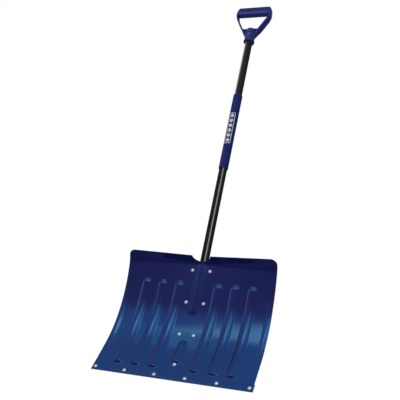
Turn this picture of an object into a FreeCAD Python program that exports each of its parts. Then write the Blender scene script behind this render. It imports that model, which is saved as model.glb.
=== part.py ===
import FreeCAD, Part
import math
import os
import Sketcher
from FreeCAD import Placement, Rotation, Vector

# A steel snow shovel with a tube handle, a foam hand sleeve and a moulded D-grip.
#
# Frame: +Z runs up along the handle, +X to the right, and the scooping face looks to -Y.
# The origin is the middle of the flat ground face of the wear strip.
# A side line of the pressed sheet is followed from the ground upwards. Its lean is the angle from
# vertical, positive where the sheet runs back (+Y) as it rises and negative where it comes forward.

DIMENSIONS = [
    ("Blade: one pressed steel sheet", [
        ("blade_width", 457.0),
        ("blade_thickness", 1.2),
        ("foot_lean", 27.5),
        ("foot_length", 90.0),
        ("scoop_radius", 335.0),
        ("upright_length", 10.0),
        ("centre_half_width", 34.0),
        ("centre_bend_start", 348.5),
        ("centre_bend_radius", 9.0),
        ("centre_flange_lean", 58.0),
        ("centre_top", 369.2),
        ("side_curl_lean", 16.4),
        ("side_bend_radius", 60.0),
        ("side_flange_lean", 42.0),
        ("side_top", 371.3),
        ("corner_radius", 18.0),
        ("notch_half_width", 28.2),
        ("notch_depth", 21.0),
    ]),
    ("Ribs pressed forward from the sheet", [
        ("rib_width", 24.0),
        ("rib_relief", 5.0),
        ("rib_first_x", 59.5),
        ("rib_pitch", 51.7),
        ("rib_bottom", 32.0),
        ("rib_top", 290.0),
        ("centre_rib_width", 26.0),
        ("centre_rib_bottom", 54.0),
        ("centre_rib_top", 117.0),
    ]),
    ("Frog: half-round seat for the tube", [
        ("frog_wall", 1.2),
        ("frog_end", 210.0),
        ("tube_behind_face", 10.0),
        ("tube_seat_gap", 0.1),
    ]),
    ("Wear strip", [
        ("strip_width", 25.0),
        ("strip_thickness", 2.0),
        ("strip_overhang", 1.5),
    ]),
    ("Rivets", [
        ("rivet_head_diameter", 10.4),
        ("rivet_head_height", 2.8),
        ("rivet_shank_diameter", 4.8),
        ("rivet_hole_diameter", 4.9),
        ("rivet_tail_diameter", 7.6),
        ("rivet_tail_height", 1.6),
        ("strip_rivet_height", 9.7),
        ("strip_rivet_pitch", 87.8),
        ("upper_rivet_height", 332.6),
        ("upper_rivet_x", 27.0),
        ("lower_rivet_height", 234.9),
        ("lower_rivet_x", 26.7),
        ("brace_rivet_height", 137.9),
        ("brace_rivet_x", 21.2),
        ("tip_rivet_height", 45.9),
    ]),
    ("Handle socket bracket behind the blade", [
        ("bracket_thickness", 1.6),
        ("bracket_half_width", 36.0),
        ("bracket_top", 344.0),
        ("bracket_shoulder", 222.0),
        ("bracket_waist", 138.0),
        ("bracket_waist_half_width", 29.0),
        ("bracket_toe_half_width", 9.0),
    ]),
    ("Handle tube", [
        ("tube_diameter", 25.4),
        ("tube_wall", 1.2),
        ("tube_bottom", 211.0),
        ("tube_top", 1224.0),
        ("shaft_rivet_height", 284.0),
    ]),
    ("Foam sleeve", [
        ("sleeve_diameter", 30.0),
        ("sleeve_bore_diameter", 25.5),
        ("sleeve_bottom", 677.0),
        ("sleeve_top", 954.0),
        ("sleeve_edge_radius", 1.0),
    ]),
    ("D-grip", [
        ("grip_top", 1325.0),
        ("bar_height", 32.0),
        ("bar_depth", 27.0),
        ("bar_corner", 9.0),
        ("grip_half_width", 62.0),
        ("arm_depth", 29.0),
        ("arm_thickness", 5.5),
        ("elbow_radius", 12.0),
        ("arm_bend_height", 1300.0),
        ("arm_bend_radius", 75.0),
        ("arm_lean", 28.0),
        ("arm_foot_height", 1204.0),
        ("web_top", 1232.0),
        ("web_depth", 12.0),
        ("neck_radius", 17.3),
        ("lip_radius", 18.8),
        ("lip_height", 6.0),
        ("socket_bottom", 1175.0),
        ("socket_gap", 0.1),
        ("slot_width", 2.6),
        ("slot_height", 12.0),
        ("slot_relief", 1.6),
        ("slot_pitch", 7.6),
        ("slot_count", 14),
        ("screw_height", 1203.0),
        ("screw_recess_diameter", 13.0),
        ("screw_recess_relief", 2.4),
        ("screw_head_diameter", 9.0),
        ("screw_head_height", 2.2),
        ("screw_shank_diameter", 4.2),
        ("screw_reach", 11.0),
    ]),
]

doc = FreeCAD.newDocument("snow_shovel")
sheet = doc.addObject("Spreadsheet::Sheet", "Dimensions")


def fill_sheet():
    """Put each driving dimension in a cell of its own, with its name as the alias."""
    row = 1
    for title, cells in DIMENSIONS:
        sheet.set("A%d" % row, title)
        row += 1
        for alias, value in cells:
            sheet.set("A%d" % row, alias)
            sheet.set("B%d" % row, str(value))
            sheet.setAlias("B%d" % row, alias)
            row += 1
    doc.recompute()


fill_sheet()


def dim(alias):
    """The value of one cell of the sheet."""
    return float(sheet.get(alias))


def bind(feature, **expressions):
    """Bind properties of a feature to cells: names in the expressions are aliases."""
    for name, expression in expressions.items():
        words = []
        for word in expression.split():
            words.append("Dimensions." + word if word[0].isalpha() else word)
        feature.setExpression(name, " ".join(words))
    return feature


# ---- the sheet's side line -------------------------------------------------------------------

BELOW_GROUND = 5.0      # the sheet is drawn this much too long, then cut off flat at the ground


def face_start_y():
    """Where the scooping face meets the ground, with the wear strip's foot centred on y = 0."""
    across = dim("blade_thickness") + dim("strip_thickness") / 2
    return -across / math.cos(math.radians(dim("foot_lean")))


def turn_length(radius, lean_change):
    return radius * math.radians(abs(lean_change))


def foot_runs():
    """From below the ground to where the scoop stands upright: (length, lean at its end)."""
    return [
        (BELOW_GROUND + dim("foot_length"), dim("foot_lean")),
        (turn_length(dim("scoop_radius"), dim("foot_lean")), 0.0),
        (dim("upright_length"), 0.0),
    ]


def follow(runs):
    """Each run of a side line as (start, lean, end, lean), with points in the YZ plane."""
    lean = dim("foot_lean")
    angle = math.radians(lean)
    point = Vector(0, face_start_y() - BELOW_GROUND * math.sin(angle), -BELOW_GROUND * math.cos(angle))
    traced = []
    for length, end_lean in runs:
        middle = math.radians((lean + end_lean) / 2)
        half_turn = math.radians(abs(end_lean - lean) / 2)
        chord = length if half_turn == 0 else length * math.sin(half_turn) / half_turn
        end = point + Vector(0, math.sin(middle), math.cos(middle)) * chord
        traced.append((point, lean, end, end_lean))
        point = end
        lean = end_lean
    return traced


def upright_start():
    """The height at which the scoop's face first stands upright."""
    return follow(foot_runs())[1][2].z


def upright_y():
    """The y of the scooping face where it stands upright."""
    return follow(foot_runs())[1][2].y


def tube_y():
    """The y of the handle's axis."""
    return upright_y() + dim("tube_behind_face")


def centre_runs():
    """The side line in the middle of the blade, where the tube lies against it."""
    straight = dim("centre_bend_start") - upright_start() - dim("upright_length")
    lean = dim("centre_flange_lean")
    bend_rise = dim("centre_bend_radius") * math.sin(math.radians(lean))
    rise = dim("centre_top") - dim("centre_bend_start") - bend_rise
    return foot_runs() + [
        (straight, 0.0),
        (turn_length(dim("centre_bend_radius"), lean), -lean),
        (rise / math.cos(math.radians(lean)), -lean),
    ]


def side_runs():
    """The side line at the blade's left and right edges, where the scoop keeps curling."""
    curl = dim("side_curl_lean")
    lean = dim("side_flange_lean")
    runs = foot_runs() + [
        (turn_length(dim("scoop_radius"), curl), -curl),
        (turn_length(dim("side_bend_radius"), lean - curl), -lean),
    ]
    rise = dim("side_top") - follow(runs)[-1][2].z
    return runs + [(rise / math.cos(math.radians(lean)), -lean)]


def behind(point, lean, distance):
    """The point a distance behind the scooping face."""
    angle = math.radians(lean)
    return point + Vector(0, math.cos(angle), -math.sin(angle)) * distance


def side_edges(traced, distance, x):
    """The edges of a side line, moved behind the face by a distance, at one x."""
    edges = []
    for start, lean, end, end_lean in traced:
        first = behind(start, lean, distance) + Vector(x, 0, 0)
        last = behind(end, end_lean, distance) + Vector(x, 0, 0)
        if lean == end_lean:
            edges.append(Part.LineSegment(first, last).toShape())
            continue
        sweep = math.radians(abs(end_lean - lean))
        radius = (end - start).Length / (2 * math.sin(sweep / 2))
        middle_angle = math.radians((lean + end_lean) / 2)
        bulge = radius * (1 - math.cos(sweep / 2))
        middle = (start + end) / 2 + Vector(0, math.cos(middle_angle), -math.sin(middle_angle)) * bulge
        middle = behind(middle, math.degrees(middle_angle), distance) + Vector(x, 0, 0)
        edges.append(Part.Arc(first, middle, last).toShape())
    return edges


def layer_wire(runs, front, back, x):
    """The closed outline of a layer between two distances behind the scooping face."""
    traced = follow(runs)
    front_edges = side_edges(traced, front, x)
    back_edges = side_edges(traced, back, x)
    toe = Part.LineSegment(front_edges[0].firstVertex().Point, back_edges[0].firstVertex().Point)
    top = Part.LineSegment(front_edges[-1].lastVertex().Point, back_edges[-1].lastVertex().Point)
    return Part.Wire(Part.__sortEdges__(front_edges + [top.toShape()] + back_edges + [toe.toShape()]))


def on_face(height, runs):
    """The point of the scooping face at a height, and its lean there."""
    for start, lean, end, end_lean in follow(runs):
        if height > end.z:
            continue
        if lean == end_lean:
            part = (height - start.z) / (end.z - start.z)
            return start + (end - start) * part, lean
        sweep = math.radians(abs(end_lean - lean))
        radius = (end - start).Length / (2 * math.sin(sweep / 2))
        angle = math.asin(math.sin(math.radians(lean)) - (height - start.z) / radius)
        centre = behind(start, lean, -radius)
        return behind(centre, math.degrees(angle), radius), math.degrees(angle)
    raise ValueError("no face at height %g" % height)


# ---- small building blocks -------------------------------------------------------------------

THROUGH = 20.0          # a tool reaches this far past a sheet, on both sides of it
FAR = 400.0             # longer than any piece that a tool is run right through


def shape_feature(name, shape):
    feature = doc.addObject("Part::Feature", name)
    feature.Shape = shape
    return feature


def fuse(name, pieces):
    feature = doc.addObject("Part::MultiFuse", name)
    feature.Shapes = pieces
    return feature


def common(name, pieces):
    feature = doc.addObject("Part::MultiCommon", name)
    feature.Shapes = pieces
    return feature


def cut(name, base, tool):
    feature = doc.addObject("Part::Cut", name)
    feature.Base = base
    feature.Tool = tool
    return feature


def cylinder(name, place, radius, height):
    feature = bind(doc.addObject("Part::Cylinder", name), Radius=radius, Height=height)
    feature.Placement = place
    return feature


def sphere(name, point, radius):
    feature = bind(doc.addObject("Part::Sphere", name), Radius=radius)
    feature.Placement = Placement(point, Rotation())
    return feature


def box(name, low, high):
    feature = doc.addObject("Part::Box", name)
    feature.Length = high[0] - low[0]
    feature.Width = high[1] - low[1]
    feature.Height = high[2] - low[2]
    feature.Placement = Placement(Vector(*low), Rotation())
    return feature


def extruded_layer(name, runs, front, back, low_x, high_x):
    """A layer of constant side line, from one x to another."""
    outline = shape_feature(name + "_outline", layer_wire(runs, front, back, low_x))
    feature = doc.addObject("Part::Extrusion", name)
    feature.Base = outline
    feature.DirMode = "Custom"
    feature.Dir = Vector(1, 0, 0)
    feature.LengthFwd = high_x - low_x
    feature.Solid = True
    return feature


def ground_block(name):
    """Everything below the ground, used to cut feet off flat."""
    reach = dim("blade_width")
    return box(name, (-reach, -THROUGH, -THROUGH), (reach, THROUGH, 0))


# ---- rivets ----------------------------------------------------------------------------------

STACK_GAP = 0.05        # the heads sit this far off the sheet, so that curved faces don't overlap
CURVE_ROOM = 0.8        # a flat tail inside the tube clears its curved wall by this much
RIVET_RIM = 0.5         # the straight rim under a rivet's domed head
SCREW_RIM = 0.8         # the straight rim under the screw's domed head
SCREW_ROOM = 0.05       # the screw's clearance in its holes, on the radius


RIVET_ROWS = [
    ("upper", "socket_rivet_upper_"),
    ("lower", "socket_rivet_lower_"),
    ("brace", "brace_rivet_"),
]


def rivet_sites():
    """Each rivet's name, x, height on the face, and the plate it clamps behind the sheet."""
    sites = []
    for number in range(6):
        x = (number - 2.5) * dim("strip_rivet_pitch")
        sites.append(("wear_strip_rivet_%d" % (number + 1), x, "strip_rivet_height", "strip"))
    for side, sign in (("left", -1), ("right", 1)):
        for row, prefix in RIVET_ROWS:
            x = sign * dim(row + "_rivet_x")
            sites.append((prefix + side, x, row + "_rivet_height", "bracket"))
    sites.append(("brace_rivet_tip", 0.0, "tip_rivet_height", "bracket"))
    return sites


def site_place(x, height_alias):
    """A placement on the scooping face with its local +Z pointing out of the face."""
    point, lean = on_face(dim(height_alias), centre_runs())
    point = point + Vector(x, 0, 0)
    return Placement(point, Rotation(Vector(1, 0, 0), 90 - lean))


def revolved(name, outline, place):
    """A solid of revolution about its local +Z, from curves in the XZ plane."""
    wire = Part.Wire([curve.toShape() for curve in outline])
    profile = shape_feature(name + "_profile", Part.Face(wire))
    feature = doc.addObject("Part::Revolution", name)
    feature.Source = profile
    feature.Axis = Vector(0, 0, 1)
    feature.Angle = 360
    feature.Placement = place
    return feature


def dome(head, edge, rise):
    """A round arc centred on the axis, from the head's edge up to its crown."""
    crown = rise - edge
    radius = (head * head + crown * crown) / (2 * crown)
    angle = math.asin(head / radius) / 2
    middle = Vector(radius * math.sin(angle), 0, rise - radius * (1 - math.cos(angle)))
    return Part.Arc(Vector(head, 0, edge), middle, Vector(0, 0, rise))


def revolved_rivet(name, place, stack):
    """One rivet: domed head on +Z, shank through a stack of plates, flattened tail behind."""
    head = dim("rivet_head_diameter") / 2
    shank = dim("rivet_shank_diameter") / 2
    tail = dim("rivet_tail_diameter") / 2
    rise = dim("rivet_head_height")
    tail_low = -stack - dim("rivet_tail_height")
    edge = RIVET_RIM
    outline = [
        Part.LineSegment(Vector(0, 0, tail_low), Vector(tail, 0, tail_low)),
        Part.LineSegment(Vector(tail, 0, tail_low), Vector(tail, 0, -stack)),
        Part.LineSegment(Vector(tail, 0, -stack), Vector(shank, 0, -stack)),
        Part.LineSegment(Vector(shank, 0, -stack), Vector(shank, 0, 0)),
        Part.LineSegment(Vector(shank, 0, 0), Vector(head, 0, 0)),
        Part.LineSegment(Vector(head, 0, 0), Vector(head, 0, edge)),
        dome(head, edge, rise),
        Part.LineSegment(Vector(0, 0, rise), Vector(0, 0, tail_low)),
    ]
    return revolved(name, outline, place)


def rivet(name, x, height_alias, plate):
    """A rivet through the blade and the plate behind it."""
    stack = dim("blade_thickness") + dim(plate + "_thickness") + 2 * STACK_GAP
    place = site_place(x, height_alias)
    lift = place.Rotation.multVec(Vector(0, 0, STACK_GAP))
    return revolved_rivet(name, Placement(place.Base + lift, place.Rotation), stack)


def rivet_drills(plate_names):
    """Round tools for the rivet holes of the named plates."""
    drills = []
    for name, x, height_alias, plate in rivet_sites():
        if plate not in plate_names:
            continue
        place = site_place(x, height_alias)
        start = Placement(place.multVec(Vector(0, 0, -THROUGH / 2)), place.Rotation)
        label = "drill_%s_%d" % (name, len(plate_names))
        drills.append(cylinder(label, start, "rivet_hole_diameter / 2", str(THROUGH)))
    return drills


# ---- blade -----------------------------------------------------------------------------------

SIDE_ROOM = 2.0         # a rib's zone is this much wider than the rib, on each side
FROG_RUN_IN = 4.0       # the frog runs this far up into the bend under the flange


def local_runs(x, top):
    """The side line at one x, up to a height below the bend."""
    share = (x - dim("centre_half_width")) / (dim("blade_width") / 2 - dim("centre_half_width"))
    runs = foot_runs()
    rise = top - upright_start() - dim("upright_length")
    if share <= 0:
        return runs + [(rise, 0.0)]
    radius = dim("scoop_radius") / share
    lean = math.degrees(math.asin(rise / radius))
    return runs + [(turn_length(radius, lean), -lean)]


def cut_runs(runs, bottom, top):
    """The part of a side line between two heights, as path points and leans."""
    kept = []
    for start, lean, end, end_lean in follow(runs):
        if end.z <= bottom or start.z >= top:
            continue
        if start.z < bottom:
            start, lean = on_face(bottom, runs)
        if end.z > top:
            end, end_lean = on_face(top, runs)
        kept.append((start, lean, end, end_lean))
    return kept


def rib_stamp(name, x, width_alias, bottom, top, inside):
    """A round bar along the face, with ball ends: the outer or the inner surface of a rib."""
    half = dim(width_alias) / 2
    relief = dim("rib_relief")
    wall = dim("blade_thickness") if inside else 0.0
    bar_radius = (half * half + relief * relief) / (2 * relief)
    depth = bar_radius - relief
    runs = local_runs(abs(x), top + THROUGH)
    path_edges = side_edges(cut_runs(runs, bottom, top), depth, x)
    path = shape_feature(name + "_path", Part.Wire(path_edges))
    radius = bar_radius - wall
    start = path_edges[0].firstVertex().Point
    end = path_edges[-1].lastVertex().Point
    lean = on_face(bottom, runs)[1]
    ring = doc.addObject("Part::Circle", name + "_ring")
    ring.Radius = radius
    ring.Placement = Placement(start, Rotation(Vector(1, 0, 0), -lean))
    bar = doc.addObject("Part::Sweep", name + "_bar")
    bar.Sections = [ring]
    bar.Spine = (path, ["Edge%d" % (index + 1) for index in range(len(path_edges))])
    bar.Solid = True
    balls = []
    for word, point in (("foot", start), ("head", end)):
        ball = doc.addObject("Part::Sphere", "%s_%s" % (name, word))
        ball.Radius = radius
        ball.Placement = Placement(point, Rotation())
        balls.append(ball)
    return fuse(name + "_stamp", [bar] + balls)


def rib_sites():
    """Each rib's name, x, width alias and the heights of its ends."""
    sites = []
    for number in range(3):
        x = dim("rib_first_x") + number * dim("rib_pitch")
        for side, sign in (("left", -1), ("right", 1)):
            sites.append(("rib_%s_%d" % (side, number + 1), sign * x, "rib_width", "rib_bottom", "rib_top"))
    sites.append(("rib_centre", 0.0, "centre_rib_width", "centre_rib_bottom", "centre_rib_top"))
    return sites


def ribs():
    """The raised ribs and the hollows behind them."""
    raised = []
    hollows = []
    for name, x, width_alias, bottom_alias, top_alias in rib_sites():
        half = dim(width_alias) / 2
        bottom = dim(bottom_alias) + half
        top = dim(top_alias) - half
        outer = rib_stamp(name + "_outer", x, width_alias, bottom, top, False)
        runs = local_runs(abs(x), dim(top_alias) + THROUGH)
        middle = dim("blade_thickness") / 2
        reach = half + SIDE_ROOM
        zone = extruded_layer(name + "_zone", runs, -THROUGH, middle, x - reach, x + reach)
        raised.append(common(name, [outer, zone]))
        hollows.append(rib_stamp(name + "_inner", x, width_alias, bottom, top, True))
    return raised, hollows


def frog():
    """The half-round seat for the tube, and the tube's clearance behind it."""
    top = "centre_bend_start + %g" % FROG_RUN_IN
    base = Vector(0, tube_y(), dim("frog_end"))
    place = Placement(base, Rotation())
    clearance = "tube_diameter / 2 + tube_seat_gap"
    outer_radius = clearance + " + frog_wall"
    outer = fuse("frog_outer", [
        cylinder("frog_shell", place, outer_radius, top + " - frog_end"),
        sphere("frog_tip", base, outer_radius),
    ])
    runs = local_runs(0, dim("centre_bend_start") + FROG_RUN_IN)
    middle = dim("blade_thickness") / 2
    zone = extruded_layer("frog_zone", runs, -THROUGH, middle, -THROUGH, THROUGH)
    raised = common("frog", [outer, zone])
    hollow = [
        cylinder("frog_bore", place, clearance, str(FAR)),
        sphere("frog_bore_tip", base, clearance),
    ]
    return raised, hollow


def flange_place(runs, x):
    """A placement at the top edge of the flange: +Z out of its face, +Y up along it."""
    end, end_lean = follow(runs)[-1][2:]
    return Placement(end + Vector(x, 0, 0), Rotation(Vector(1, 0, 0), 90 - end_lean))


def notch_tool():
    """A round tool that cuts the notch in the flange for the tube."""
    half = dim("notch_half_width")
    depth = dim("notch_depth")
    radius = (half * half + depth * depth) / (2 * depth)
    place = flange_place(centre_runs(), 0)
    centre = place.multVec(Vector(0, radius - depth, -THROUGH))
    tool = doc.addObject("Part::Cylinder", "notch_tool")
    tool.Radius = radius
    tool.Height = 2 * THROUGH
    tool.Placement = Placement(centre, place.Rotation)
    return tool


def corner_tools():
    """Tools that round off the flange's two outer corners: a block on the corner less a round bar."""
    radius = dim("corner_radius")
    tools = []
    for side, sign in (("left", -1), ("right", 1)):
        place = flange_place(side_runs(), sign * dim("blade_width") / 2)
        block = doc.addObject("Part::Box", "corner_block_" + side)
        block.Length = 2 * radius
        block.Width = 2 * radius
        block.Height = 2 * THROUGH
        block.Placement = Placement(place.multVec(Vector(-radius, -radius, -THROUGH)), place.Rotation)
        bar = doc.addObject("Part::Cylinder", "corner_bar_" + side)
        bar.Radius = radius
        bar.Height = 4 * THROUGH
        centre = place.multVec(Vector(-sign * radius, -radius, -2 * THROUGH))
        bar.Placement = Placement(centre, place.Rotation)
        tools.append(cut("corner_tool_" + side, block, bar))
    return tools


def blade():
    """The sheet, its ribs and frog, then every hole and trimmed edge."""
    thickness = dim("blade_thickness")
    half = dim("blade_width") / 2
    inner = dim("centre_half_width")
    lines = [(-half, side_runs()), (-inner, centre_runs()), (inner, centre_runs()), (half, side_runs())]
    sections = []
    for number, (x, runs) in enumerate(lines):
        sections.append(shape_feature("sheet_section_%d" % number, layer_wire(runs, 0, thickness, x)))
    pressed = doc.addObject("Part::Loft", "pressed_sheet")
    pressed.Sections = sections
    pressed.Solid = True
    pressed.Ruled = True
    raised, hollows = ribs()
    frog_raised, frog_hollow = frog()
    body = fuse("sheet_with_relief", [pressed, frog_raised] + raised)
    tools = hollows + frog_hollow + [notch_tool(), ground_block("below_blade")] + corner_tools()
    tools = tools + rivet_drills(("strip", "bracket"))
    return cut("blade", body, fuse("blade_tools", tools))


# ---- wear strip and bracket ------------------------------------------------------------------

def wear_strip():
    """The flat steel strip riveted behind the blade's foot."""
    front = dim("blade_thickness")
    half = dim("blade_width") / 2 + dim("strip_overhang")
    runs = [(BELOW_GROUND + dim("strip_width"), dim("foot_lean"))]
    bar = extruded_layer("strip_bar", runs, front, front + dim("strip_thickness"), -half, half)
    tools = [ground_block("below_strip")] + rivet_drills(("strip",))
    return cut("wear_strip", bar, fuse("strip_tools", tools))


def bracket_outline():
    """The bracket's tapering outline, seen from the front, as a block through the blade."""
    widths = [
        ("bracket_top", "bracket_half_width"),
        ("bracket_shoulder", "bracket_half_width"),
        ("bracket_waist", "bracket_waist_half_width"),
        ("tip_rivet_height", "bracket_toe_half_width"),
    ]
    right = [Vector(dim(half), 0, dim(height)) for height, half in widths]
    left = [Vector(-point.x, 0, point.z) for point in reversed(right)]
    outline = shape_feature("bracket_plan", Part.Face(Part.makePolygon(right + left + right[:1])))
    block = doc.addObject("Part::Extrusion", "bracket_block")
    block.Base = outline
    block.DirMode = "Custom"
    block.Dir = Vector(0, 1, 0)
    block.LengthFwd = FAR
    block.Solid = True
    toe_place = Placement(Vector(0, 0, dim("tip_rivet_height")), Rotation(Vector(1, 0, 0), -90))
    toe = cylinder("bracket_toe", toe_place, "bracket_toe_half_width", str(FAR))
    return fuse("bracket_through", [block, toe])


def socket_bracket():
    """A tapering steel strap behind the blade, with a half-round channel round the tube."""
    front = dim("blade_thickness")
    back = front + dim("bracket_thickness")
    reach = 2 * dim("bracket_half_width")
    runs = local_runs(0, dim("bracket_top"))
    plate = extruded_layer("bracket_layer", runs, front, back, -reach, reach)
    strap = common("bracket_strap", [plate, bracket_outline()])
    seat = Placement(Vector(0, tube_y(), dim("tube_bottom") - 1), Rotation())
    bore_radius = "tube_diameter / 2 + tube_seat_gap"
    channel = cylinder("bracket_channel", seat, bore_radius + " + bracket_thickness",
                       "bracket_top - tube_bottom + 1")
    ahead = box("ahead_of_bracket", (-reach, -FAR, 0), (reach, upright_y() + front, FAR))
    saddle = cut("bracket_saddle", channel, ahead)
    mouth = Placement(seat.Base - Vector(0, 0, THROUGH), Rotation())
    bore = cylinder("bracket_bore", mouth, bore_radius, str(FAR))
    hole_place = Placement(Vector(0, tube_y(), dim("shaft_rivet_height")), Rotation(Vector(1, 0, 0), -90))
    hole = cylinder("bracket_shaft_hole", hole_place, "rivet_hole_diameter / 2", "tube_diameter")
    tools = [bore, hole] + rivet_drills(("bracket",))
    return cut("socket_bracket", fuse("bracket_blank", [strap, saddle]), fuse("bracket_tools", tools))


def shaft_rivet():
    """The rivet that holds the tube in the bracket's channel, put in from behind."""
    wall = dim("bracket_thickness") + dim("tube_seat_gap") + dim("tube_wall")
    outside = dim("tube_diameter") / 2 + dim("tube_seat_gap") + dim("bracket_thickness")
    seat = Vector(0, tube_y() + outside, dim("shaft_rivet_height"))
    place = Placement(seat, Rotation(Vector(1, 0, 0), -90))
    return revolved_rivet("shaft_rivet", place, wall + CURVE_ROOM)


# ---- tube and sleeve -------------------------------------------------------------------------

def origin_plane(body, role):
    for feature in body.Origin.OriginFeatures:
        if feature.Role == role:
            return feature
    raise ValueError("no plane " + role)


def new_body(name):
    """A body whose local +Z axis is the handle's axis."""
    body = doc.addObject("PartDesign::Body", name)
    body.Placement = Placement(Vector(0, tube_y(), 0), Rotation())
    return body


def new_sketch(body, name, role, offset=0.0):
    sketch = body.newObject("Sketcher::SketchObject", name)
    sketch.AttachmentSupport = [(origin_plane(body, role), "")]
    sketch.MapMode = "FlatFace"
    sketch.AttachmentOffset = Placement(Vector(0, 0, offset), Rotation())
    return sketch


def add_circle(sketch, centre, radius):
    """A circle held at its centre, with its radius bound to cells."""
    index = sketch.addGeometry(Part.Circle(Vector(centre[0], centre[1], 0), Vector(0, 0, 1), 1.0))
    sketch.addConstraint(Sketcher.Constraint("DistanceX", -1, 1, index, 3, centre[0]))
    sketch.addConstraint(Sketcher.Constraint("DistanceY", -1, 1, index, 3, centre[1]))
    number = sketch.addConstraint(Sketcher.Constraint("Radius", index, 1.0))
    return bind(sketch, **{"Constraints[%d]" % number: radius})


def pad(body, sketch, length):
    feature = body.newObject("PartDesign::Pad", sketch.Name + "_pad")
    feature.Profile = sketch
    return bind(feature, Length=length)


def pocket(body, sketch, length, reversed_way):
    feature = body.newObject("PartDesign::Pocket", sketch.Name + "_pocket")
    feature.Profile = sketch
    feature.Reversed = reversed_way
    return bind(feature, Length=length)


def round_bar(name, outer_radius, inner_radius, bottom_alias, top_alias):
    """A body that is one plain tube between two heights."""
    body = new_body(name)
    sketch = new_sketch(body, name + "_ring", "XY_Plane", dim(bottom_alias))
    add_circle(sketch, (0, 0), outer_radius)
    add_circle(sketch, (0, 0), inner_radius)
    pad(body, sketch, "%s - %s" % (top_alias, bottom_alias))
    return body


def checked_hole(body, name, height_alias, radius, reversed_way):
    """A hole through one wall of a tube, at a height, to the front or to the back."""
    doc.recompute()
    before = body.Shape.Volume
    sketch = new_sketch(body, name, "XZ_Plane")
    add_circle(sketch, (0, dim(height_alias)), radius)
    pocket(body, sketch, "tube_diameter", reversed_way)
    doc.recompute()
    if body.Shape.Volume >= before - 1:
        raise ValueError(name + " cuts nothing")


def handle_tube():
    body = round_bar("handle_tube", "tube_diameter / 2", "tube_diameter / 2 - tube_wall",
                     "tube_bottom", "tube_top")
    screw_hole = "screw_shank_diameter / 2 + %g" % SCREW_ROOM
    checked_hole(body, "grip_screw_hole", "screw_height", screw_hole, True)
    checked_hole(body, "shaft_rivet_hole", "shaft_rivet_height", "rivet_hole_diameter / 2", False)
    return body


def foam_sleeve():
    body = round_bar("foam_sleeve", "sleeve_diameter / 2", "sleeve_bore_diameter / 2",
                     "sleeve_bottom", "sleeve_top")
    doc.recompute()
    rims = []
    for number, edge in enumerate(body.Shape.Edges):
        if isinstance(edge.Curve, Part.Circle) and edge.Curve.Radius > dim("sleeve_diameter") / 2 - 0.1:
            rims.append("Edge%d" % (number + 1))
    tube = body.Tip
    rounding = body.newObject("PartDesign::Fillet", "sleeve_rims")
    rounding.Base = (tube, rims)
    bind(rounding, Radius="sleeve_edge_radius")
    return body


# ---- D-grip ----------------------------------------------------------------------------------

SOCKET_DRILL = 8.0      # tools for the grip's screw reach this far, past the socket's wall
WEB_FILLET = 9.0        # the opening's lower corners are rounded over this length
BAR_PROUD = 1.0         # the crossbar stands this far above the arms


def arm_side(inset):
    """The right-hand side of the grip's outline, moved inwards: points from the top down."""
    half = dim("grip_half_width") - inset
    radius = dim("arm_bend_radius") - inset
    lean = math.radians(dim("arm_lean"))
    bend_top = Vector(half, 0, dim("arm_bend_height"))
    middle = bend_top - Vector(radius * (1 - math.cos(lean / 2)), 0, radius * math.sin(lean / 2))
    bend_end = bend_top - Vector(radius * (1 - math.cos(lean)), 0, radius * math.sin(lean))
    return bend_top, middle, bend_end


def along_arm(bend_end, height):
    """The point of the arm's straight part at a height."""
    drop = bend_end.z - height
    return Vector(bend_end.x - drop * math.tan(math.radians(dim("arm_lean"))), 0, height)


def mirrored_outline(edges):
    """Close a right-hand half outline with its mirror image, as a face in the XZ plane."""
    wires = []
    for curve in edges:
        wires.append(curve.toShape())
        wires.append(curve.toShape().mirror(Vector(0, 0, 0), Vector(1, 0, 0)))
    return Part.Face(Part.Wire(Part.__sortEdges__(wires)))


def grip_outer():
    """The whole outline of the grip, from the bar's top down to the neck."""
    bend_top, middle, bend_end = arm_side(0.0)
    foot = along_arm(bend_end, dim("arm_foot_height"))
    top = dim("grip_top") - BAR_PROUD
    radius = dim("elbow_radius")
    half = bend_top.x
    slant = radius * (1 - math.sqrt(0.5))
    elbow_start = Vector(half - radius, 0, top)
    low = dim("arm_foot_height") - WEB_FILLET
    return mirrored_outline([
        Part.LineSegment(Vector(0, 0, top), elbow_start),
        Part.Arc(elbow_start, Vector(half - slant, 0, top - slant), Vector(half, 0, top - radius)),
        Part.LineSegment(Vector(half, 0, top - radius), bend_top),
        Part.Arc(bend_top, middle, bend_end),
        Part.LineSegment(bend_end, foot),
        Part.LineSegment(foot, Vector(0, 0, low)),
    ])


def grip_opening():
    """The opening for the hand, between the bar, the arms and the web."""
    bend_top, middle, bend_end = arm_side(dim("arm_thickness"))
    top = dim("grip_top") - dim("bar_height") / 2
    web = dim("web_top")
    corner = along_arm(bend_end, web)
    before = along_arm(bend_end, web + WEB_FILLET)
    after = corner - Vector(WEB_FILLET, 0, 0)
    between = (before + after) * 0.25 + corner * 0.5
    return mirrored_outline([
        Part.LineSegment(Vector(0, 0, top), Vector(bend_top.x, 0, top)),
        Part.LineSegment(Vector(bend_top.x, 0, top), bend_top),
        Part.Arc(bend_top, middle, bend_end),
        Part.LineSegment(bend_end, before),
        Part.Arc(before, between, after),
        Part.LineSegment(after, Vector(0, 0, web)),
    ])


def web_recess():
    """The part of the outline where the web is thinner than the arms."""
    bend_end = arm_side(dim("arm_thickness"))[2]
    top = along_arm(bend_end, dim("web_top") + WEB_FILLET)
    foot = along_arm(bend_end, dim("arm_foot_height") - WEB_FILLET / 2)
    return mirrored_outline([
        Part.LineSegment(Vector(0, 0, top.z), top),
        Part.LineSegment(top, foot),
        Part.LineSegment(foot, Vector(0, 0, foot.z)),
    ])


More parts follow.
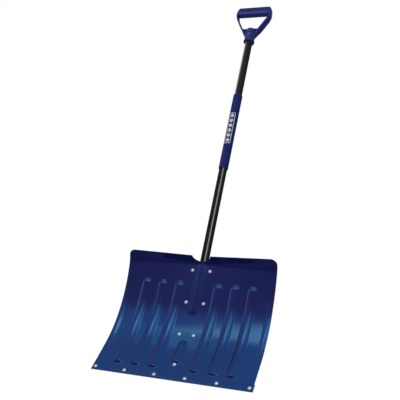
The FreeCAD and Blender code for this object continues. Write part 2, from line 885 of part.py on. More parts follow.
def through_block(name, face, low_y, high_y):
    """A block with an outline in the XZ plane, between two depths about the handle's axis."""
    outline = shape_feature(name + "_outline", face)
    block = doc.addObject("Part::Extrusion", name)
    block.Base = outline
    block.DirMode = "Custom"
    block.Dir = Vector(0, 1, 0)
    block.LengthFwd = high_y - low_y
    block.Solid = True
    block.Placement = Placement(Vector(0, tube_y() + low_y, 0), Rotation())
    return block


def grip_neck():
    """The round socket that takes the tube, with a lip at its mouth."""
    bottom = dim("socket_bottom")
    lip = dim("lip_radius")
    neck = dim("neck_radius")
    points = [
        Vector(0, 0, bottom),
        Vector(lip, 0, bottom),
        Vector(lip, 0, bottom + dim("lip_height") / 2),
        Vector(neck, 0, bottom + dim("lip_height") * 2),
        Vector(neck, 0, dim("web_top")),
        Vector(0, 0, dim("web_top")),
        Vector(0, 0, bottom),
    ]
    profile = shape_feature("neck_profile", Part.Face(Part.makePolygon(points)))
    neck_feature = doc.addObject("Part::Revolution", "grip_neck")
    neck_feature.Source = profile
    neck_feature.Axis = Vector(0, 0, 1)
    neck_feature.Angle = 360
    neck_feature.Placement = Placement(Vector(0, tube_y(), 0), Rotation())
    return neck_feature


def grip_bar():
    """The crossbar that the hand holds: a rounded block between the arms."""
    length = 2 * (dim("grip_half_width") - dim("arm_thickness") / 2)
    depth = dim("bar_depth")
    low = Vector(-length / 2, tube_y() - depth / 2, dim("grip_top") - dim("bar_height"))
    block = doc.addObject("Part::Box", "bar_block")
    bind(block, Width="bar_depth", Height="bar_height")
    block.Length = length
    block.Placement = Placement(low, Rotation())
    doc.recompute()
    rounded = doc.addObject("Part::Fillet", "grip_bar")
    rounded.Base = block
    long_edges = []
    for number, edge in enumerate(block.Shape.Edges):
        run = edge.lastVertex().Point - edge.firstVertex().Point
        if abs(run.x) > length / 2:
            long_edges.append((number + 1, dim("bar_corner"), dim("bar_corner")))
    rounded.Edges = long_edges
    return rounded


def grip_slots():
    """Upright finger slots in the front and the back of the crossbar."""
    slots = []
    count = int(dim("slot_count"))
    relief = dim("slot_relief")
    low_z = dim("grip_top") - dim("bar_corner") * 0.6 - dim("slot_height")
    for side, sign in (("front", -1), ("back", 1)):
        face_y = tube_y() + sign * dim("bar_depth") / 2
        low_y = face_y - relief
        for number in range(count):
            x = (number - (count - 1) / 2) * dim("slot_pitch")
            slot = doc.addObject("Part::Box", "slot_%s_%d" % (side, number + 1))
            bind(slot, Length="slot_width", Height="slot_height")
            slot.Width = 2 * relief
            slot.Placement = Placement(Vector(x - dim("slot_width") / 2, low_y, low_z), Rotation())
            slots.append(slot)
    return slots


def screw_place():
    """On the floor of the screw's recess, +Z pointing out of the grip's front."""
    front = tube_y() - dim("neck_radius") + dim("screw_recess_relief")
    return Placement(Vector(0, front, dim("screw_height")), Rotation(Vector(1, 0, 0), 90))


def d_grip():
    """The moulded grip: bar, two arms, web and socket in one piece."""
    half_depth = dim("arm_depth") / 2
    half_web = dim("web_depth") / 2
    ring = through_block("grip_ring", grip_outer(), -half_depth, half_depth)
    opening = through_block("grip_opening", grip_opening(), -half_depth - 1, half_depth + 1)
    recess = web_recess()
    front_recess = through_block("recess_front", recess, -half_depth - 1, -half_web)
    back_recess = through_block("recess_back", recess, half_web, half_depth + 1)
    arms = cut("grip_arms", ring, fuse("grip_hollows", [opening, front_recess, back_recess]))
    solid = fuse("grip_blank", [arms, grip_neck(), grip_bar()])
    mouth = Placement(Vector(0, tube_y(), dim("socket_bottom") - 1), Rotation())
    bore = cylinder("socket_bore", mouth, "tube_diameter / 2 + socket_gap", "tube_top - socket_bottom + 2")
    place = screw_place()
    recess_tool = cylinder("screw_recess", place, "screw_recess_diameter / 2", str(SOCKET_DRILL))
    hole_place = Placement(place.multVec(Vector(0, 0, -SOCKET_DRILL)), place.Rotation)
    hole_radius = "screw_shank_diameter / 2 + %g" % SCREW_ROOM
    hole = cylinder("screw_hole", hole_place, hole_radius, str(SOCKET_DRILL + 1))
    tools = fuse("grip_tools", [bore, recess_tool, hole] + grip_slots())
    return cut("d_grip", solid, tools)


def grip_screw():
    """The pan-head screw through the socket's wall into the tube."""
    head = dim("screw_head_diameter") / 2
    shank = dim("screw_shank_diameter") / 2
    rise = dim("screw_head_height")
    reach = dim("screw_reach")
    edge = SCREW_RIM
    outline = [
        Part.LineSegment(Vector(0, 0, -reach), Vector(shank, 0, -reach + shank)),
        Part.LineSegment(Vector(shank, 0, -reach + shank), Vector(shank, 0, 0)),
        Part.LineSegment(Vector(shank, 0, 0), Vector(head, 0, 0)),
        Part.LineSegment(Vector(head, 0, 0), Vector(head, 0, edge)),
        dome(head, edge, rise),
        Part.LineSegment(Vector(0, 0, rise), Vector(0, 0, -reach)),
    ]
    return revolved("grip_screw", outline, screw_place())


# ---- nodes -----------------------------------------------------------------------------------

def check(nodes):
    """Stop if a feature failed or a node has no valid solid."""
    doc.recompute()
    for feature in doc.Objects:
        if "Invalid" in feature.State or "Error" in feature.State:
            raise ValueError("%s failed: %s %s" % (feature.Name, feature.State, feature.getStatusString()))
    for node in nodes:
        if node.Shape.isNull() or not node.Shape.isValid() or not node.Shape.Solids:
            raise ValueError("%s has no valid solid" % node.Label)


nodes = [blade(), wear_strip(), socket_bracket(), shaft_rivet()]
nodes += [handle_tube(), foam_sleeve(), d_grip(), grip_screw()]
nodes += [rivet(*site) for site in rivet_sites()]
check(nodes)
os.makedirs("parts", exist_ok=True)
for node in nodes:
    node.Shape.exportStep("parts/%s.step" % node.Label)
    print("%-26s %2d solid %10.1f mm3" % (node.Label, len(node.Shape.Solids), node.Shape.Volume))
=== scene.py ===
import math

import bpy
import numpy as np
from mathutils import Matrix, Vector

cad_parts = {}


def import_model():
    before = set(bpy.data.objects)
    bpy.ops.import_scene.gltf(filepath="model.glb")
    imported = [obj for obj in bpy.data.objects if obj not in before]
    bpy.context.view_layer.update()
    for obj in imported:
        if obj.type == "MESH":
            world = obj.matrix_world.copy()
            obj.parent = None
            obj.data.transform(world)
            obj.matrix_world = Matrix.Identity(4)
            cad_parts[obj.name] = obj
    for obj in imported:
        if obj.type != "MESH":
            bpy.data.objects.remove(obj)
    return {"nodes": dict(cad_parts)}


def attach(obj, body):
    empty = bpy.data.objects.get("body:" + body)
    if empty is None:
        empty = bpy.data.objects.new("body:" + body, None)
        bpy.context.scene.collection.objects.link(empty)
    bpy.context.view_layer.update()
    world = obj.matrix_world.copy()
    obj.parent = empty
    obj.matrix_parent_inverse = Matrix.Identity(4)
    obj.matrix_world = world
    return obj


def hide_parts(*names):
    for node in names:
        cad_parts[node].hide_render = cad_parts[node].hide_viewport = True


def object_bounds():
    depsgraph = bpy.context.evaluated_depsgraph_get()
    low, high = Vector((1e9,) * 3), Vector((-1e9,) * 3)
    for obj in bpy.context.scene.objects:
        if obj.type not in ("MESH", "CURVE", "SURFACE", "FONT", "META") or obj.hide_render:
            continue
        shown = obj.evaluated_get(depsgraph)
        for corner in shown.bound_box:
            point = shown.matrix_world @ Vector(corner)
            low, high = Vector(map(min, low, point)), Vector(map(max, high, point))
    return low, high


# A steel snow shovel with a tube handle, a foam hand sleeve and a moulded D-grip.
#
# Lengths are written in millimetres and turned into metres where a mesh is made. +Z runs up along
# the handle, +X to the right, and the scooping face looks to -Y. The visible pieces are rebuilt
# around the CAD frame, with the finer shapes that the frame leaves plain.

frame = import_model()
start_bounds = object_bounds()

MM = 0.001


# ---- driving dimensions, in millimetres and degrees ----

BLADE_HALF = 228.5
SHEET = 1.2
FOOT_LEAN = 27.5
FOOT_LENGTH = 90.0
SCOOP_RADIUS = 335.0
UPRIGHT_LENGTH = 10.0
CENTRE_HALF = 34.0
CENTRE_BEND_START = 348.5
CENTRE_BEND_RADIUS = 9.0
CENTRE_FLANGE_LEAN = 58.0
CENTRE_TOP = 369.2
SIDE_CURL_LEAN = 16.4
SIDE_BEND_RADIUS = 60.0
SIDE_FLANGE_LEAN = 42.0
SIDE_TOP = 371.3
CORNER_RADIUS = 18.0
NOTCH_HALF = 28.0
NOTCH_DEPTH = 21.0
NOTCH_SQUARENESS = 1.8  # 2 makes the notch half an ellipse

RIB_FOOT_HALF = 17.5    # a rib's half width at its lower end, and at its upper end
RIB_TOP_HALF = 14.0
RIB_RELIEF = 5.0
RIB_TOP_EASE = 0.9      # how steep a rib's upper end is beside its flanks, and then its lower end
RIB_FOOT_EASE = 2.2
RIB_SHOULDER = 0.80     # where a flank is steepest, as a share of a rib's half width
RIB_FIRST_X = 59.5
RIB_PITCH = 51.7
RIB_CENTRES = [RIB_FIRST_X + number * RIB_PITCH for number in range(3)]
RIB_BOTTOM = 27.0
RIB_TOP = 297.0
CENTRE_RIB_BOTTOM = 48.0
CENTRE_RIB_TOP = 119.0

TUBE_RADIUS = 12.7
TUBE_WALL = 1.2
TUBE_BEHIND_FACE = 10.0
TUBE_SEAT_GAP = 0.1
FROG_RADIUS = TUBE_RADIUS + TUBE_SEAT_GAP + SHEET
FROG_ROUND = FROG_RADIUS - 0.1      # the seat is round up to here, and slopes steeply back beyond
FROG_SLOPE = 2.0
FROG_SPREAD = 1.45      # how much wider than round the frog is
FROG_END = 210.0
FROG_SOFTNESS = 1.8     # how far the frog blends into the sheet
FROG_TIP_ROOM = 4.0     # the sheet is plain further than this below the frog's round tip

STRIP_THICKNESS = 2.0


# ---- meshes ----

def stand(name, data):
    """A new object in the scene that shows a mesh, a lamp or a camera."""
    made = bpy.data.objects.new(name, data)
    bpy.context.scene.collection.objects.link(made)
    return made


def bevel(piece, width, angle):
    """Round the edges of a piece that are sharper than an angle in degrees."""
    edges = piece.modifiers.new("edges", "BEVEL")
    edges.width = width * MM
    edges.segments = 2
    edges.limit_method = "ANGLE"
    edges.angle_limit = math.radians(angle)


def new_piece(name, points, faces, nodes, smooth=True):
    """A mesh piece from points in millimetres, which stands in for CAD nodes."""
    mesh = bpy.data.meshes.new(name)
    mesh.from_pydata((np.asarray(points, dtype=float) * MM).tolist(), [], [list(face) for face in faces])
    mesh.validate()
    mesh.update()
    mesh.polygons.foreach_set("use_smooth", [smooth] * len(mesh.polygons))
    piece = stand(name, mesh)
    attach(piece, "root")
    if nodes:
        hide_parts(*nodes)
    return piece


def grid_faces(rows, columns, closed=False):
    """Quads over a grid of points stored row by row, which may close round on its columns."""
    faces = []
    across = columns if closed else columns - 1
    for row in range(rows - 1):
        for column in range(across):
            after = (column + 1) % columns
            low = row * columns
            high = low + columns
            faces.append((low + column, low + after, high + after, high + column))
    return faces


def lathe(profile, segments=96):
    """Points and faces of a profile of (radius, height) turned round the Z axis."""
    turns = np.linspace(0, 2 * math.pi, segments, endpoint=False)
    points = []
    for radius, height in profile:
        points += [(radius * math.cos(turn), radius * math.sin(turn), height) for turn in turns]
    return np.array(points), grid_faces(len(profile), segments, closed=True)


def corner(centre, radius, start, end, steps=6):
    """Profile points along a round corner, with angles in degrees from the outward direction."""
    angles = np.radians(np.linspace(start, end, steps))
    return [(centre[0] + radius * math.cos(a), centre[1] + radius * math.sin(a)) for a in angles]


def soft_max(a, b, softness):
    """The larger of two fields, with the crease between them rounded."""
    gap = np.abs(a - b)
    blend = np.clip(softness * 2 - gap, 0, None)
    return np.maximum(a, b) + blend * blend / (softness * 8)


def soft_min(a, b, softness):
    return -soft_max(-a, -b, softness)


def smooth_step(value):
    value = np.clip(value, 0.0, 1.0)
    return value * value * (3 - 2 * value)


# ---- the sheet's side line ----
# A side line is followed from the ground upwards. Its lean is the angle from vertical, positive
# where the sheet runs back (+Y) as it rises and negative where it comes forward.

def turn_length(radius, lean_change):
    return radius * math.radians(abs(lean_change))


def run_points(start, lean, length, end_lean, shares):
    """Points and leans along one run, a line or an arc, at shares of its length."""
    leans = np.radians(lean + (end_lean - lean) * shares)
    first = math.radians(lean)
    if lean == end_lean:
        along = shares * length
        y = start[0] + along * math.sin(first)
        z = start[1] + along * math.cos(first)
    else:
        radius = length / math.radians(end_lean - lean)
        y = start[0] + radius * (math.cos(first) - np.cos(leans))
        z = start[1] + radius * (np.sin(leans) - math.sin(first))
    return y, z, leans


def trace(runs, shares_of_runs):
    """Every run of a side line at its own shares: lists of y, z and lean arrays."""
    point = (-(SHEET + STRIP_THICKNESS / 2) / math.cos(math.radians(FOOT_LEAN)), 0.0)
    lean = FOOT_LEAN
    traced = []
    for (length, end_lean), shares in zip(runs, shares_of_runs):
        traced.append(run_points(point, lean, length, end_lean, shares))
        y, z, _ = run_points(point, lean, length, end_lean, np.array([1.0]))
        point = (y[0], z[0])
        lean = end_lean
    return traced


def line_end(runs):
    y, z, _ = trace(runs, [np.array([1.0])] * len(runs))[-1]
    return y[0], z[0]


FOOT_RUNS = [
    (FOOT_LENGTH, FOOT_LEAN),
    (turn_length(SCOOP_RADIUS, FOOT_LEAN), 0.0),
    (UPRIGHT_LENGTH, 0.0),
]


def centre_runs():
    """The side line in the middle of the blade, where the tube lies against it."""
    lean = CENTRE_FLANGE_LEAN
    straight = CENTRE_BEND_START - line_end(FOOT_RUNS)[1]
    bend_rise = CENTRE_BEND_RADIUS * math.sin(math.radians(lean))
    flange_rise = CENTRE_TOP - CENTRE_BEND_START - bend_rise
    return FOOT_RUNS + [
        (straight, 0.0),
        (turn_length(CENTRE_BEND_RADIUS, lean), -lean),
        (flange_rise / math.cos(math.radians(lean)), -lean),
    ]


def side_runs():
    """The side line at the blade's left and right edges, where the scoop keeps curling."""
    curl = SIDE_CURL_LEAN
    lean = SIDE_FLANGE_LEAN
    runs = FOOT_RUNS + [
        (turn_length(SCOOP_RADIUS, curl), -curl),
        (turn_length(SIDE_BEND_RADIUS, lean - curl), -lean),
    ]
    flange_rise = SIDE_TOP - line_end(runs)[1]
    return runs + [(flange_rise / math.cos(math.radians(lean)), -lean)]


FACE_Y = line_end(FOOT_RUNS)[0]
TUBE_Y = FACE_Y + TUBE_BEHIND_FACE


def face_point(height):
    """The y and the lean of the scooping face in the middle of the blade, at a height."""
    shares = np.linspace(0, 1, 400)
    y, z, leans = [np.concatenate(parts) for parts in zip(*trace(centre_runs(), [shares] * 6))]
    return np.interp(height, z, y), np.interp(height, z, leans)


# ---- blade ----

BEAD_WIDTH = 19.0       # a low bead stiffens each side edge over this width
BEAD_RISE = 1.6
BEAD_FADE = (40.0, 150.0)
ROWS_OF_RUNS = [60, 100, 8, 70, 16, 16]
NOTCH_STEP = 0.8        # the gap between columns at the notch, on a rib and on plain sheet
RIB_STEP = 1.2
PLAIN_STEP = 2.2


def columns():
    """The x of each line of the sheet: close together on ribs, at the frog and at rounded edges."""
    half = []
    x = 0.0
    while x < NOTCH_HALF:
        half.append(x)
        x += NOTCH_STEP
    x = NOTCH_HALF
    while x < BLADE_HALF - CORNER_RADIUS:
        half.append(x)
        near = min(abs(x - centre) for centre in RIB_CENTRES)
        x += RIB_STEP if near < RIB_FOOT_HALF + 3 else PLAIN_STEP
    for turn in np.linspace(0, math.pi / 2, 24):
        half.append(BLADE_HALF - CORNER_RADIUS * (1 - math.sin(turn)))
    return np.array([-x for x in reversed(half[1:])] + half)


def side_share(x):
    """How far a column's side line is from the centre's line towards the edge's line."""
    reach = BLADE_HALF - CENTRE_HALF
    away = np.abs(x) - CENTRE_HALF
    return np.clip(soft_max(away, 0.0, 6.0) / reach, 0.0, 1.0)


def flange_trim(x):
    """How much of the flange is cut off its top edge: the notch for the tube, and the corners."""
    x = abs(x)
    if x < NOTCH_HALF:
        return NOTCH_DEPTH * (1 - (x / NOTCH_HALF) ** NOTCH_SQUARENESS) ** (1 / NOTCH_SQUARENESS)
    over = max(0.0, x - (BLADE_HALF - CORNER_RADIUS))
    return CORNER_RADIUS - math.sqrt(max(0.0, CORNER_RADIUS ** 2 - over ** 2))


def column_points(x):
    """One column of the plain sheet: y, z and lean from the ground to the flange's top."""
    centre = centre_runs()
    side = side_runs()
    share = float(side_share(x))
    lengths = [(1 - share) * inner[0] + share * outer[0] for inner, outer in zip(centre, side)]
    shares = [np.linspace(0, 1, rows, endpoint=False) for rows in ROWS_OF_RUNS[:4]]
    top = lengths[4] + lengths[5]
    trimmed = np.linspace(0, top - flange_trim(x), ROWS_OF_RUNS[4] + ROWS_OF_RUNS[5])
    on_bend = trimmed < lengths[4]
    shares.append(np.where(on_bend, trimmed / lengths[4], 1.0))
    shares.append(np.where(on_bend, 0.0, (trimmed - lengths[4]) / lengths[5]))
    at_centre = trace(centre, shares)
    at_side = trace(side, shares)
    blended = []
    for run in range(6):
        blended.append([(1 - share) * a + share * b for a, b in zip(at_centre[run], at_side[run])])
    upper = [np.where(on_bend, bend, flange) for bend, flange in zip(blended[4], blended[5])]
    return [np.concatenate([blended[run][axis] for run in range(4)] + [upper[axis]]) for axis in range(3)]


def rib_height(x, along, z, centre, bottom, top):
    """How far a rib stands out of the face, at points of one column: a round crest and tighter feet."""
    share = np.clip((z - bottom) / (top - bottom), 0, 1)
    half = RIB_FOOT_HALF + (RIB_TOP_HALF - RIB_FOOT_HALF) * share
    low = np.interp(bottom + RIB_FOOT_HALF / RIB_FOOT_EASE, z, along)
    high = np.interp(top - RIB_TOP_HALF, z, along)
    beyond = np.clip(low - along, 0, None) * RIB_FOOT_EASE + np.clip(along - high, 0, None) * RIB_TOP_EASE
    away = np.clip(np.hypot(x - centre, beyond) / half, 0, 1)
    crest = 1 - away ** 2 / RIB_SHOULDER
    foot = (1 - away) ** 2 / (1 - RIB_SHOULDER)
    return RIB_RELIEF * np.where(away < RIB_SHOULDER, crest, foot)


def ribs_height(x, along, z):
    """The relief of all ribs at one column."""
    tallest = rib_height(x, along, z, 0.0, CENTRE_RIB_BOTTOM, CENTRE_RIB_TOP)
    for centre in RIB_CENTRES:
        tallest = np.maximum(tallest, rib_height(abs(x), along, z, centre, RIB_BOTTOM, RIB_TOP))
    return tallest


def bead_height(x, z):
    """The relief of the bead along a side edge, which fades out towards the foot."""
    share = np.clip((abs(x) - (BLADE_HALF - BEAD_WIDTH)) / BEAD_WIDTH, 0, 1)
    strength = smooth_step((z - BEAD_FADE[0]) / (BEAD_FADE[1] - BEAD_FADE[0]))
    return BEAD_RISE * math.sin(math.pi * share) ** 2 * strength


def frog_front(x, y, z):
    """The sheet's y where the half-round seat for the tube pushes it forward."""
    below = np.clip(FROG_END - z, 0, None)
    away = np.hypot(x / FROG_SPREAD, below)
    inside = np.minimum(away, FROG_ROUND)
    seat = TUBE_Y - np.sqrt(FROG_RADIUS ** 2 - inside ** 2) + (away - inside) * FROG_SLOPE
    lowest = FROG_END - FROG_RADIUS - FROG_TIP_ROOM
    return np.where(z < lowest, y, soft_min(y, seat, FROG_SOFTNESS))


def sheet_points():
    """The front surface of the blade, as rows of points across its columns."""
    xs = columns()
    grid = []
    for x in xs:
        y, z, lean = column_points(x)
        steps = np.hypot(np.diff(y), np.diff(z))
        along = np.concatenate([[0.0], np.cumsum(steps)])
        rise = ribs_height(x, along, z) + bead_height(x, z)
        y = y - rise * np.cos(lean)
        z = np.maximum(z + rise * np.sin(lean), 0.0)
        grid.append(np.stack([np.full_like(y, x), frog_front(x, y, z), z], axis=1))
    return np.array(grid).transpose(1, 0, 2)


def blade():
    """The pressed sheet with its ribs, frog, curled sides and trimmed flange."""
    front = sheet_points()
    rows, across = front.shape[:2]
    points = front.reshape(-1, 3)
    piece = new_piece("blade_sheet", points, grid_faces(rows, across), ["blade"])
    solid = piece.modifiers.new("sheet", "SOLIDIFY")
    solid.thickness = SHEET * MM
    solid.offset = -1.0
    bevel(piece, width=0.3, angle=55)
    return piece


# ---- solids from distance fields ----

def rounded_box(x, y, z, half, radius):
    """Distance to a box about the origin with rounded edges."""
    over = [np.abs(value) - size + radius for value, size in zip((x, y, z), half)]
    outside = np.sqrt(sum(np.maximum(value, 0) ** 2 for value in over))
    inside = np.minimum(np.maximum(np.maximum(over[0], over[1]), over[2]), 0)
    return outside + inside - radius


def rounded_prism(across, along, half_across, half_along, radius):
    """Distance to a bar from its distances across two directions, with rounded edges."""
    return rounded_box(across, along, np.zeros_like(across), (half_across, half_along, radius * 2), radius)


def arc_distance(x, z, centre, radius, low, high):
    """Distance in the XZ plane to an arc between two angles in degrees."""
    angle = np.clip(np.arctan2(z - centre[1], x - centre[0]), math.radians(low), math.radians(high))
    return np.hypot(x - centre[0] - radius * np.cos(angle), z - centre[1] - radius * np.sin(angle))


def line_distance(x, z, start, end):
    """Distance in the XZ plane to a straight line between two points."""
    run = (end[0] - start[0], end[1] - start[1])
    share = ((x - start[0]) * run[0] + (z - start[1]) * run[1]) / (run[0] ** 2 + run[1] ** 2)
    share = np.clip(share, 0, 1)
    return np.hypot(x - start[0] - share * run[0], z - start[1] - share * run[1])


def cell_corners(values, offset):
    """The field at one corner of every cell of its grid."""
    parts = tuple(slice(step, size - 1 + step) for step, size in zip(offset, values.shape))
    return values[parts]


def surface_net(field, low, high, step):
    """A quad mesh of the surface where a distance field is zero, with its points moved onto it."""
    axes = [np.arange(a, b + step, step) for a, b in zip(low, high)]
    values = field(*np.meshgrid(*axes, indexing="ij"))
    offsets = [(i, j, k) for i in (0, 1) for j in (0, 1) for k in (0, 1)]
    inside = sum((cell_corners(values, offset) < 0).astype(np.int8) for offset in offsets)
    active = (inside > 0) & (inside < 8)
    crossings = np.zeros(active.shape + (3,))
    count = np.zeros(active.shape)
    for start in offsets:
        for axis in range(3):
            if start[axis]:
                continue
            end = tuple(value + (index == axis) for index, value in enumerate(start))
            first = cell_corners(values, start)
            last = cell_corners(values, end)
            crossed = (first < 0) != (last < 0)
            share = np.where(crossed, first / np.where(crossed, first - last, 1.0), 0.0)
            for index in range(3):
                crossings[..., index] += crossed * (start[index] + (share if index == axis else 0.0))
            count += crossed
    cells = np.argwhere(active)
    points = np.array(low) + (cells + crossings[active] / count[active][:, None]) * step
    numbers = np.full(active.shape, -1)
    numbers[active] = np.arange(len(cells))
    return settle(points, field, step / 4), net_faces(values, numbers)


def net_faces(values, numbers):
    """Quads of cell numbers, one round each grid edge that the surface crosses, facing outwards."""
    faces = []
    for axis in range(3):
        other = [index for index in range(3) if index != axis]
        ahead = np.take(values, range(1, values.shape[axis]), axis=axis)
        here = np.take(values, range(values.shape[axis] - 1), axis=axis)
        sites = np.argwhere((here < 0) != (ahead < 0))
        sites = sites[(sites[:, other[0]] > 0) & (sites[:, other[1]] > 0)]
        ring = []
        for back in ((1, 1), (0, 1), (0, 0), (1, 0)):
            cell = sites.copy()
            cell[:, other] -= back
            ring.append(numbers[tuple(cell.T)])
        quads = np.stack(ring, axis=1)
        outward = (here[tuple(sites.T)] < 0) != (axis == 1)
        quads[~outward] = quads[~outward][:, ::-1]
        faces.append(quads)
    return np.concatenate(faces).tolist()


def settle(points, field, reach):
    """Move points along the field's slope until they lie on its zero surface."""
    for _ in range(3):
        value = field(*points.T)
        slopes = []
        for axis in range(3):
            ahead = points.copy()
            ahead[:, axis] += reach / 8
            slopes.append((field(*ahead.T) - value) / (reach / 8))
        slope = np.stack(slopes, axis=1)
        size = np.maximum((slope ** 2).sum(axis=1), 0.25)
        move = np.clip(value / size, -reach, reach)
        points = points - slope * move[:, None]
    return points


# ---- D-grip ----

GRIP_TOP = 1325.0
BAR_HALF = (59.0, 13.5, 16.0)
BAR_CORNER = 9.0
ARM_X = 59.25           # the middle of an arm's thickness, where it stands upright
ARM_HALF_THICKNESS = 2.75
ARM_HALF_DEPTH = 14.5
ARM_TOP = 1318.5
ARM_TAPER = 4.5         # how much shallower an arm is where it meets the bar, and at its foot
ARM_TAPER_LOW = 1288.0
ARM_TAPER_HIGH = 1312.0
ARM_ELBOW = 9.25
ARM_BEND_Z = 1300.0
ARM_BEND_RADIUS = 72.25
ARM_LEAN = 28.0
ARM_FOOT_Z = 1204.0
WEB_TOP = 1232.0
NECK_TOP = 1228.5
POCKET_X = 21.3         # a blind pocket in the web on each side of the neck, on both faces
POCKET_Z = 1225.0
POCKET_HALF = (3.6, 3.8)
POCKET_FLOOR = 1.2
WEB_HALF_DEPTH = 6.0
NECK_RADIUS = 17.3
LIP_RADIUS = 18.8
LIP_HEIGHT = 6.0
SOCKET_BOTTOM = 1175.0
GRIP_FILLET = 1.6
GRIP_EDGE = 0.3
SOCKET_RADIUS = 12.8
TUBE_TOP = 1224.0
SLOT_HALF_WIDTH = 1.8
SLOT_PITCH = 7.6
SLOT_COUNT = 14
SLOT_LOW = 1303.5
SLOT_HIGH = 1320.5
SLOT_RELIEF = 2.6
SCREW_Z = 1203.0
SCREW_FLOOR_Y = 2.4 - NECK_RADIUS
SCREW_RECESS_RADIUS = 6.5

ARM_SLOPE = math.radians(ARM_LEAN)
BEND_END_X = ARM_X - ARM_BEND_RADIUS * (1 - math.cos(ARM_SLOPE))
BEND_END_Z = ARM_BEND_Z - ARM_BEND_RADIUS * math.sin(ARM_SLOPE)


def arm_x(z):
    """The x of an arm's centreline on its straight part."""
    return BEND_END_X - (BEND_END_Z - z) * math.tan(ARM_SLOPE)


def arm_field(x, y, z):
    """The two arms, from the elbows beside the bar down to the neck."""
    elbow = (ARM_X - ARM_ELBOW, ARM_TOP - ARM_ELBOW)
    bend = (ARM_X - ARM_BEND_RADIUS, ARM_BEND_Z)
    foot = (arm_x(ARM_FOOT_Z - 2), ARM_FOOT_Z - 2)
    away = np.minimum.reduce([
        arc_distance(x, z, elbow, ARM_ELBOW, 0, 90),
        line_distance(x, z, (ARM_X, elbow[1]), (ARM_X, ARM_BEND_Z)),
        arc_distance(x, z, bend, ARM_BEND_RADIUS, -ARM_LEAN, 0),
        line_distance(x, z, (BEND_END_X, BEND_END_Z), foot),
    ])
    taper = ARM_TAPER * smooth_step((z - ARM_TAPER_LOW) / (ARM_TAPER_HIGH - ARM_TAPER_LOW))
    taper = taper + ARM_TAPER * smooth_step((WEB_TOP - z) / (WEB_TOP - ARM_FOOT_Z))
    return rounded_prism(away, y, ARM_HALF_THICKNESS, ARM_HALF_DEPTH - taper, 2.0)


def web_field(x, y, z):
    """The thin web between the feet of the arms."""
    side = (x - arm_x(z)) * math.cos(ARM_SLOPE)
    edge = np.maximum(np.maximum(side, z - WEB_TOP), ARM_FOOT_Z - 10 - z)
    web = np.maximum(edge, np.abs(y) - WEB_HALF_DEPTH)
    pocket = rounded_box(x - POCKET_X, z - POCKET_Z, np.zeros_like(y), POCKET_HALF + (1.0,), 1.0)
    return soft_max(web, -np.maximum(pocket, POCKET_FLOOR - np.abs(y)), GRIP_EDGE)


def neck_field(x, y, z):
    """The round socket for the tube, with a lip at its mouth and a domed top."""
    away = np.hypot(x, y)
    middle = (SOCKET_BOTTOM + NECK_TOP) / 2
    neck = rounded_prism(away, z - middle, NECK_RADIUS, (NECK_TOP - SOCKET_BOTTOM) / 2, 3.0)
    lip_middle = SOCKET_BOTTOM + LIP_HEIGHT / 2
    lip = rounded_prism(away, z - lip_middle, LIP_RADIUS, LIP_HEIGHT / 2, 1.4)
    return soft_min(neck, lip, 1.5)


def bar_field(x, y, z):
    """The crossbar, with a row of upright finger slots in its front and its back."""
    bar = rounded_box(x, y, z - (GRIP_TOP - BAR_HALF[2]), BAR_HALF, BAR_CORNER)
    middle = (SLOT_COUNT - 1) / 2
    nearest = np.clip(np.round(x / SLOT_PITCH + middle), 0, SLOT_COUNT - 1)
    across = x - (nearest - middle) * SLOT_PITCH
    height = z - (SLOT_LOW + SLOT_HIGH) / 2
    slot = rounded_prism(across, height, SLOT_HALF_WIDTH, (SLOT_HIGH - SLOT_LOW) / 2, 0.9)
    slot_floor = -(bar + SLOT_RELIEF)
    return soft_max(bar, -soft_max(slot, slot_floor, GRIP_EDGE), 0.35)


def grip_field(x, y, z):
    """The whole grip, with y measured from the handle's axis."""
    mirrored = np.abs(x)
    frame_part = soft_min(bar_field(x, y, z), arm_field(mirrored, y, z), GRIP_FILLET)
    lower = soft_min(web_field(mirrored, y, z), neck_field(x, y, z), GRIP_FILLET)
    solid = soft_min(frame_part, lower, GRIP_FILLET)
    bore = np.maximum(np.hypot(x, y) - SOCKET_RADIUS, z - TUBE_TOP - 1)
    recess = np.maximum(np.hypot(x, z - SCREW_Z) - SCREW_RECESS_RADIUS, y - SCREW_FLOOR_Y)
    return soft_max(soft_max(solid, -recess, 0.4), -bore, GRIP_EDGE)


def d_grip():
    """The moulded D-grip in one piece."""
    reach = LIP_RADIUS + 2
    low = (-ARM_X - 6, -reach, SOCKET_BOTTOM - 3)
    high = (ARM_X + 6, reach, GRIP_TOP + 3)
    step = 0.75
    points, faces = surface_net(grip_field, low, high, step)
    points[:, 1] += TUBE_Y
    return new_piece("grip_moulding", points, faces, ["d_grip"])


# ---- grip screw ----

SCREW_HEAD = 4.5
SCREW_RISE = 2.2
SCREW_SHANK = 2.1
SCREW_REACH = 11.0
CROSS_HALF = 0.55
CROSS_REACH = 2.4
CROSS_DEPTH = 1.3


def screw_field(x, y, z):
    """A pan-head screw whose head stands on y = 0 towards -Y, with a cross recess."""
    away = np.hypot(x, z)
    crown = 4.2
    radius = (SCREW_HEAD ** 2 + crown ** 2) / (2 * SCREW_RISE)
    domed = np.sqrt(away ** 2 + (y - (radius - SCREW_RISE)) ** 2) - radius
    head = soft_max(soft_max(away - SCREW_HEAD, y, 0.25), domed, 0.3)
    shank = np.maximum(np.maximum(away - SCREW_SHANK, y - SCREW_REACH), -y)
    upright = np.maximum(np.abs(x) - CROSS_HALF, np.abs(z) - CROSS_REACH)
    level = np.maximum(np.abs(z) - CROSS_HALF, np.abs(x) - CROSS_REACH)
    cross = np.maximum(np.minimum(upright, level), y + SCREW_RISE - CROSS_DEPTH)
    return np.minimum(soft_max(head, -cross, 0.12), shank)


